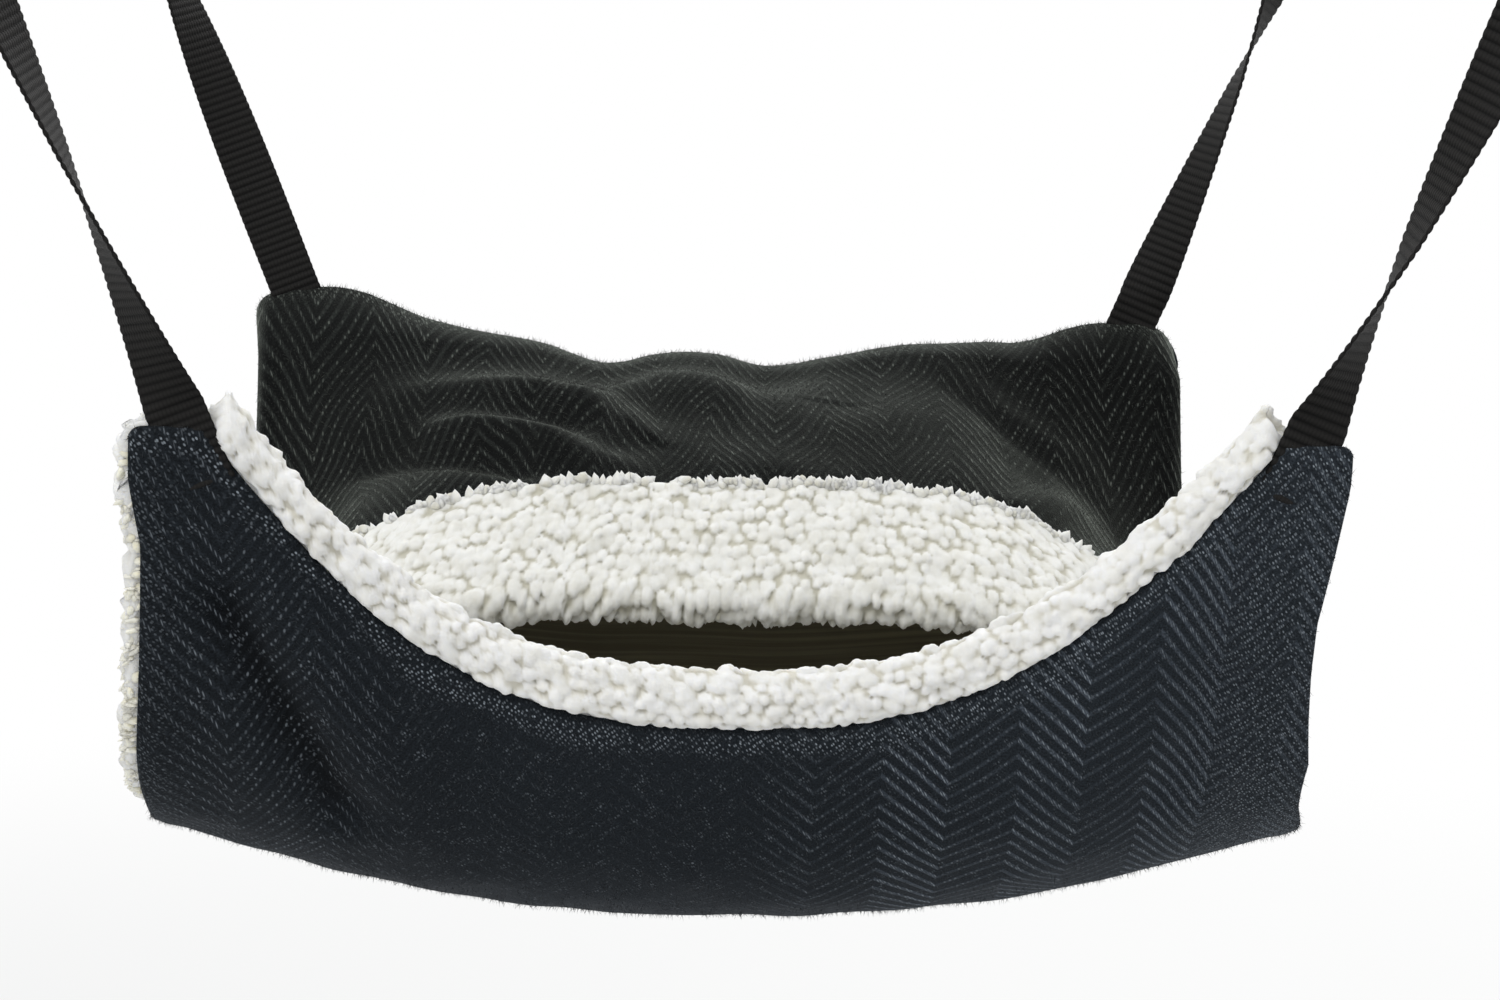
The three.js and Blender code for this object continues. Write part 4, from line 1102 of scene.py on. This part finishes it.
# The fibres stand on the part of the cover that its cuff leaves bare.
roof_rows = cover_grid.shape[0] - BACK_ROWS - LIP_ROWS - CUFF_ROWS
bare_rows = BACK_ROWS + round(0.78 * roof_rows)
bare = (cover_grid - cover_normal * cover_half[..., None])[:bare_rows]
cover_fuzz = loose_fibres("cover_fuzz", bare, -cover_normal[:bare_rows], seed=62)
# Its fibres take the same darker colours, as painted shade.
cover_fuzz.data.materials.append(fibre_material("loose_fibre_shaded_copy", "#151615", "#3c403a"))
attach(cover_fuzz, "root")


# Sherpa ply of the cover and its cuff
# The same cream sherpa lines the cover and is turned back over its front edge as a 52 mm
# cuff. Its pile hangs in small pointed nubs that give the cuff a ragged lower edge.
CUFF_PITCH = 5.0
u_cuff = np.linspace(-1, 1, 400)
cuff_height = 1.5 * PLY_GAP + SHELL + SHERPA / 2
cuff_grid, cuff_normal = cover_path(u_cuff, cuff_height, CUFF_PITCH, lip_rows=18, cuff_rows=58)
cuff_run = run_of(cuff_grid)
cuff_side = (1 - np.abs(u_cuff)) * COVER_WIDTH / 2 + 0 * cuff_run
cuff_edge = from_edges(cuff_run, cuff_side)
under_rows = len(under_shares(CUFF_PITCH))
turned_back = smooth(np.arange(cuff_run.shape[0]), under_rows - 1, under_rows + 5)[:, None]
cuff_nubs = nubs(cuff_grid[..., 0], cuff_run, pitch_a=4.0, pitch_b=5.4, seed=26)
soft = 0.5 * ripples(cuff_grid[..., 0], cuff_run, 18, 28)
pile = (3.2 * cuff_nubs + soft - 1.5) * turned_back
flat_half = SHERPA / 2 * edge_rounding(cuff_edge, 3.0)
cuff_half = np.maximum(0, flat_half + 0.5 * pile * edge_rounding(cuff_edge, 2.0))
cuff_half[0], cuff_half[-1], cuff_half[:, 0], cuff_half[:, -1] = 0, 0, 0, 0
cuff_middle = cuff_grid + cuff_normal * (cuff_half - flat_half)[..., None]
droop = (1.9 * cuff_nubs * turned_back * edge_rounding(cuff_edge, 3.0))[..., None]
cuff_points, cuff_faces, inside = two_faced(cuff_middle, cuff_normal, cuff_half)
cuff_points[: cuff_half.size] += (droop * [0, -0.25, -0.97]).reshape(-1, 3)
# The pile map is low between the nubs, where the material paints shade.
pile_shade_map = twice(mix(0.75, cuff_nubs, turned_back))
both_map = np.concatenate([pile_shade_map.reshape(-1, 2), pile_shade_map[inside]])
cover_sherpa = piece_from("cover_sherpa", cuff_points, cuff_faces.tolist(), {"pile": both_map})
# The cover's sherpa is a darker copy of the cream one: painted shade for how light falls on the cuff.
sherpa_shaded_copy = sherpa_material("sherpa_fleece_shaded_copy", "#eeeee9", "#ccc9b9")
cover_sherpa.data.materials.append(sherpa_shaded_copy)
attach(cover_sherpa, "root")
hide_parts("cover_lining")


# Tufts stand along the cuff's two free edges, where the pile was cut, and here and there
# across it. On the fold they hang down over the slit.
outer_grid = (cuff_grid + cuff_normal * (2 * cuff_half - flat_half)[..., None])[under_rows - 2 :]
outer_normal = cuff_normal[under_rows - 2 :]
outer_run = run_of(outer_grid)
row_numbers = np.arange(outer_grid.shape[0])
rng = np.random.default_rng(51)
centres, downs, outs = [], [], []
# Each kind: how many, where along the run it starts and ends, whether that is measured
# from the fold or from the free edge, how much it hangs, and how much it stands out.
TUFT_KINDS = [
    (520, 1.0, 15.0, True, 1.2, 0.1),
    (330, 0.8, 3.4, False, -0.6, 0.5),
]
for count, near, far_off, from_fold, hang, stand in TUFT_KINDS:
    for _ in range(count):
        column = rng.uniform(3, u_cuff.size - 4)
        c = int(column)
        reach = rng.uniform(near, far_off)
        reach = reach if from_fold else outer_run[-1, c] - reach
        if reach > outer_run[-1, c] - 0.4:
            continue
        r = min(int(np.interp(reach, outer_run[:, c], row_numbers)), row_numbers[-2])
        normal = outer_normal[r, c]
        upward_run = unit(outer_grid[r + 1, c] - outer_grid[r, c])
        hanging = np.array([0, -0.15, -1.0])
        hanging = hanging - normal * (hanging @ normal)
        heading = hanging * hang if from_fold else -upward_run * hang
        heading = heading + normal * stand - upward_run * 0.3 * from_fold
        heading = unit(heading + rng.normal(0, 0.14, 3))
        root = mix(outer_grid[r, c], outer_grid[r, c + 1], column - c)
        centres.append(root - normal * rng.uniform(0.8, 1.8))
        downs.append(heading)
        outs.append(unit(normal - heading * (normal @ heading)))
centres, downs, outs = np.array(centres), np.array(downs), np.array(outs)
cuff_tufts = teardrops("cuff_tufts", centres, downs, outs, length=6.4, width=4.6, seed=52)
cuff_tufts.data.materials.append(sherpa_shaded_copy)
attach(cuff_tufts, "root")


# Webbing straps
# Each strap is 20 mm black nylon webbing: a tail sewn into the seam, 180 mm of twisted
# strap, and an end folded round the eye of its snap and sewn down with a box of stitches.
STRAP_WIDTH = 20
STRAP_THICK = 1.4
STRAP_LENGTH = 180
STRAP_FOLD = 24
STRAP_LEAN = math.radians(21.5)
STRAP_SPLAY = math.radians(5)
HINGE_HEIGHT = 6
TAIL_LENGTH = 22
EYE_WIRE = 3.2
STRAP_DEPTH = SLING_DEPTH / 2 - LINING_DEPTH - STRAP_THICK / 2
LOOP_RADIUS = EYE_WIRE / 2 + PLY_GAP + STRAP_THICK / 2
PLY_OFFSET = STRAP_THICK / 2 + PLY_GAP / 2
TURN_END = STRAP_LENGTH - STRAP_FOLD - 2 * LOOP_RADIUS
# Each corner's name, side, end and half span, its strap's whole turn in degrees, the
# share of its height at which the strap stands edge on, and its rib pitch.
CORNERS = [
    ("front_left", -1, -1, 188, -122, 0.6, 2.9),
    ("front_right", 1, -1, 188, 160, 0.45, 3.5),
    ("back_left", -1, 1, 175, 88, 1.1, 2.9),
    ("back_right", 1, 1, 175, -146, 0.65, 3.5),
]
TWIST_START = 4
# The stitched box on the fold: its half width, and how far from the fold's ends it starts.
BOX_HALF, BOX_IN_LOW, BOX_IN_HIGH = 7.5, 3, 9.5


def strap_axes(side, end, half_span):
    """A strap's hinge, the directions across it and up it, and the one its tail takes."""
    flat = np.array([side * math.sin(STRAP_LEAN), 0, math.cos(STRAP_LEAN)])
    across = np.array([math.cos(STRAP_LEAN), 0, -side * math.sin(STRAP_LEAN)])
    up = flat * math.cos(STRAP_SPLAY) + np.array([0, end * math.sin(STRAP_SPLAY), 0])
    hinge = np.array([side * half_span, end * STRAP_DEPTH, HINGE_HEIGHT], float)
    return hinge, across, up, flat


def strap_turn(height, turn_degrees, edge_on_share):
    """A twisted strap narrows evenly to where it stands edge on, then widens evenly."""
    z = np.clip(height, 0, TURN_END)
    whole = math.radians(abs(turn_degrees))
    edge_on = edge_on_share * TURN_END
    start = np.hypot(z, TWIST_START) - TWIST_START
    width_share = 1 - start / (math.hypot(edge_on, TWIST_START) - TWIST_START)
    if edge_on > TURN_END:
        width_share = 1 - (1 - math.cos(whole)) * (z / TURN_END) ** 3
    else:
        past = math.cos(whole) * (z - edge_on) / (TURN_END - edge_on)
        width_share = np.where(z > edge_on, past, width_share)
    return math.copysign(1, turn_degrees) * np.arccos(np.clip(width_share, -1, 1))


def webbing_material():
    """Black nylon webbing, woven in crosswise ribs. It gives the eye a dull satin black
    with fine yarn lines. Its colour darkens into the valleys between the ribs as painted
    shade, which leaves a painted highlight along the crest of each of the ribs."""
    material, tree = empty_material("ribbed_nylon_webbing")
    # The yarns are narrow; the ribs themselves are in the mesh.
    yarn_width = 1.4
    weave = add(tree, "UVMap", uv_map="weave")
    x = add(tree, "SeparateXYZ", (weave,))
    rib_shade = add(tree, "SeparateXYZ", (add(tree, "UVMap", uv_map="rib_shade"),))
    turns = add(tree, "Math", (x, math.pi / yarn_width), operation="MULTIPLY")
    wave = add(tree, "Math", (turns,), operation="SINE")
    yarn = add(tree, "Math", (wave,), operation="ABSOLUTE")
    grain = add(tree, "TexNoise", {"Vector": weave, "Scale": 3.0, "Detail": 2})
    relief = add(tree, "Math", (yarn, 0.5, 0.2), operation="MULTIPLY_ADD")
    relief = add(tree, "Math", (grain, 0.6, relief), operation="MULTIPLY_ADD")
    tone_and_painted_light = add(tree, "MapRange", (relief, 0.3, 1.1, 0.5, 1.0))
    # Painted shade: the colour darkens into the valleys between the ribs.
    tone_and_painted_light = add(tree, "Math", (tone_and_painted_light, rib_shade), operation="MULTIPLY")
    settings = {"Roughness": 0.6, "IOR": 1.53, "Specular IOR Level": 0.09}
    surface(tree, tone_and_painted_light, "#030303", "#232221", settings, relief, strength=0.5, depth=0.0004)
    return material


webbing = webbing_material()


def strap_stations():
    """Height along the strap and offset across its face, all along the webbing."""
    step = 0.5
    neck_end = TURN_END + 2 * LOOP_RADIUS
    throat = STRAP_LENGTH - LOOP_RADIUS * 2.4
    straight = [(z, 0.0) for z in np.arange(-HINGE_HEIGHT - TAIL_LENGTH, 0, step)]
    straight += [(z, 0.0) for z in np.arange(0, TURN_END, step)]
    neck_z = np.linspace(TURN_END, neck_end, 8)
    neck = [(z, PLY_OFFSET * float(smooth(z, TURN_END, neck_end))) for z in neck_z]
    front = [(z, PLY_OFFSET) for z in np.arange(neck_z[-1] + step, throat, step)]
    loop = []
    for angle in np.linspace(-0.2, math.pi + 0.2, 22):
        height = STRAP_LENGTH + LOOP_RADIUS * math.sin(angle)
        loop.append((height, LOOP_RADIUS * math.cos(angle)))
    approach, leave = [], []
    for s in (0.33, 0.66):
        approach.append((mix(throat, loop[0][0], s), mix(PLY_OFFSET, loop[0][1], s * s)))
        back_in = mix(loop[-1][1], -PLY_OFFSET, 1 - (1 - s) ** 2)
        leave.append((mix(loop[-1][0], throat, s), back_in))
    back = [(z, -PLY_OFFSET) for z in np.arange(throat, STRAP_LENGTH - STRAP_FOLD, -step)]
    return np.array(straight + neck + front + approach + loop + leave + back)


def thread_run(line, normals, width, stitch):
    """Short raised stitches along a line, as flattened six-sided bars."""
    vertices, faces = [], []
    run = run_of(line)
    sides = 2 * math.pi * np.arange(6)[:, None] / 6
    shares, lifts = (0.5, 1.0, 0.5), (-0.05, 0.22, -0.05)
    for start in np.arange(0, run[-1] - stitch * 0.5, stitch):
        middle = start + 0.5 * stitch
        spots = (start + 0.12 * stitch, middle, start + 0.88 * stitch)
        ends = [np.array([np.interp(spot, run, line[:, k]) for k in range(3)]) for spot in spots]
        normal = unit(np.array([np.interp(middle, run, normals[:, k]) for k in range(3)]))
        sideways = np.cross(unit(ends[2] - ends[0]), normal)
        first = len(vertices)
        for end, share, lift in zip(ends, shares, lifts):
            reach = 0.5 * width * share
            upright = normal * (lift + reach * np.sin(sides))
            vertices.extend(end + upright + sideways * (reach * np.cos(sides)))
        ring = first + np.arange(18).reshape(3, 6)
        ring = np.concatenate([ring, ring[:, :1]], axis=1)
        faces += quads(ring).tolist() + [ring[0, 5::-1].tolist(), ring[2, :6].tolist()]
    return vertices, faces


# Twisted black sewing thread: slightly glossier than the webbing that it holds.
thread, tree = empty_material("bonded_nylon_thread")
place = add(tree, "TexCoord").outputs["Object"]
ply = add(tree, "TexNoise", {"Vector": place, "Scale": 2600, "Detail": 1})
surface(tree, ply, "#17161a", "#34333a", {"Roughness": 0.45, "IOR": 1.53})

stations = strap_stations()
heights, offsets = stations.T
station_run = run_of(stations)
run_direction = unit(np.gradient(stations, axis=0))
across_steps = np.array([-10, -9.9, -9.6, -9.0, -7.5, -5, -2.5, 0, 2.5, 5, 7.5, 9.0, 9.6, 9.9, 10])
from_selvedge = STRAP_WIDTH / 2 - np.abs(across_steps)
for name, side, end, half_span, turn_degrees, edge_on_share, rib_pitch in CORNERS:
    hinge, across, up, flat = strap_axes(side, end, half_span)
    facing = np.cross(up, across)
    # The weave's ribs cross the strap, and its selvedges are a little thicker.
    ribs = np.abs(np.sin(math.pi * station_run / rib_pitch))[:, None]
    selvedge = 0.1 * hump(from_selvedge, 0.9, 0.7)
    half_round = edge_rounding(from_selvedge, 0.7)
    half = (STRAP_THICK / 2 - 0.38 + 0.42 * ribs + selvedge) * half_round
    ends_round = edge_rounding(np.minimum(station_run, station_run[-1] - station_run) + 0.05, 0.7)
    half = half * ends_round[:, None]
    half[0], half[-1] = 0, 0
    local_x = across_steps * (1 + 0.022 * (ribs - 0.5) * (from_selvedge < 3))

    def place_point(x, off, z):
        turn_here = strap_turn(z, turn_degrees, edge_on_share)
        c, s = np.cos(turn_here), np.sin(turn_here)
        px, py = x * c - off * s, x * s + off * c
        bend = smooth(z, -4, 4)[..., None]
        lift_direction = unit(flat * (1 - bend) + up * bend)
        level = lift_direction * np.minimum(z, 0)[..., None] + up * np.maximum(z, 0)[..., None]
        return hinge + across * px[..., None] + facing * py[..., None] + level

    z_mid, off_mid = heights[:, None] + 0 * half, offsets[:, None] + 0 * half
    half_z, half_off = half * -run_direction[:, 1:], half * run_direction[:, :1]
    over = place_point(local_x, off_mid + half_off, z_mid + half_z)
    under = place_point(local_x, off_mid - half_off, z_mid - half_z)
    middle = 0.5 * (over + under)
    toward = unit(over - under + 1e-9)
    size = np.linalg.norm(over - under, axis=-1) / 2
    strap_map = np.stack([local_x, station_run[:, None] + 0 * half], axis=-1)
    # Its second map carries the painted shade of the valleys between the ribs.
    strap_maps = {"weave": strap_map, "rib_shade": twice(ribs + 0 * half)}
    strap = closed_ply(f"webbing_{name}", middle, toward, size, strap_maps, flip=True)
    strap.data.materials.append(webbing)
    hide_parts(f"strap_tail_{name}", f"strap_{name}")
    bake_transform(strap)

    # A box with a cross, sewn through both plies of the fold.
    low, high = STRAP_LENGTH - STRAP_FOLD + BOX_IN_LOW, STRAP_LENGTH - BOX_IN_HIGH
    corners = [(-BOX_HALF, low), (BOX_HALF, low), (BOX_HALF, high), (-BOX_HALF, high)]
    vertices, faces = [], []
    for sense in (1, -1):
        off = sense * (PLY_OFFSET + STRAP_THICK / 2 - 0.02)
        for a, b in ((0, 1), (1, 2), (2, 3), (3, 0), (0, 2), (1, 3)):
            xs, zs = np.linspace(corners[a], corners[b], 12).T
            line = place_point(xs, np.full(12, off), zs)
            above = place_point(xs, np.full(12, off + sense), zs) - line
            more_vertices, more_faces = thread_run(line, above, width=0.55, stitch=2.4)
            faces.extend([tuple(v + len(vertices) for v in f) for f in more_faces])
            vertices.extend(more_vertices)
    stitches = piece_from(f"fold_stitches_{name}", vertices, faces)
    stitches.data.materials.append(thread)
    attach(stitches, f"strap_{name}")


# Swivel bolt snaps
# Each snap is a nickel-plated zinc casting: a wire eye with a riveted post, a hook body
# that turns on it, and a spring bolt with a thumb knob.
def nickel_material(name, colour_low, colour_high, rough_low, rough_high):
    """Bright nickel plate over cast zinc, tumbled smooth. It gives the eye a warm grey
    mirror, softened by fine handling marks."""
    material, tree = empty_material(name)
    place = add(tree, "TexCoord").outputs["Object"]
    cloud = add(tree, "TexNoise", {"Vector": place, "Scale": 120, "Detail": 4})
    fine = add(tree, "TexNoise", {"Vector": place, "Scale": 1500, "Detail": 2})
    rough = add(tree, "MapRange", (cloud, 0.3, 0.7, rough_low, rough_high))
    settings = {"Metallic": 1.0, "Roughness": rough}
    surface(tree, cloud, colour_low, colour_high, settings, fine, strength=0.12, depth=0.0002)
    return material


nickel = nickel_material("tumbled_nickel_plate", "#a9aaab", "#c6c5c1", rough_low=0.22, rough_high=0.38)
for corner in CORNERS:
    for part in ("swivel_eye", "snap_body", "snap_bolt"):
        carried = bpy.data.objects[f"{part}_{corner[0]}"]
        carried.data.materials.clear()
        carried.data.materials.append(nickel)


# Bolt springs
# A coil of drawn spring steel wire in each barrel pushes the bolt shut. Its coils close up
# as the bolt is pulled back.
SPRING_WIRE = 0.6
SPRING_RADIUS = 1.6
SPRING_TURNS = 5
SPRING_ASIDE = 6.6
SPRING_FOOT, SPRING_HEAD = 201.2, 211.25
WIRE_SIDES = 8
spring_steel = nickel_material(
    "drawn_spring_steel", "#8d8f92", "#a8aaad", rough_low=0.28, rough_high=0.42
)
share = np.linspace(0, 1, SPRING_TURNS * 20 + 1)[:, None]
closed_ends = 0.5 - 0.5 * np.cos(math.pi * share)
winding = 2 * math.pi * SPRING_TURNS * share
around = (2 * math.pi * np.arange(WIRE_SIDES) / WIRE_SIDES)[None, :]
reach = SPRING_RADIUS + SPRING_WIRE / 2 * np.cos(around)
wire_height = mix(SPRING_FOOT, SPRING_HEAD, mix(share, closed_ends, 0.4))
wire_height = wire_height + SPRING_WIRE / 2 * np.sin(around)
wire_x = SPRING_ASIDE + reach * np.cos(winding)
wire_y = reach * np.sin(winding)
rings = np.arange(share.size * WIRE_SIDES).reshape(share.size, WIRE_SIDES)
wire_faces = quads(np.concatenate([rings, rings[:, :1]], axis=1))[:, [0, 3, 2, 1]].tolist()
wire_faces += [rings[0].tolist(), rings[-1][::-1].tolist()]
for name, side, end, half_span, *_ in CORNERS:
    hinge, across, up, _ = strap_axes(side, end, half_span)
    facing = np.cross(up, across)
    place = hinge + [0, 0, corner_level]
    coil = across * wire_x[..., None] + facing * wire_y[..., None] + up * wire_height[..., None]
    spring = piece_from(f"coiled_wire_{name}", hinge + coil, wire_faces)
    spring.data.materials.append(spring_steel)
    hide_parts(f"bolt_spring_{name}")
    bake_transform(spring)
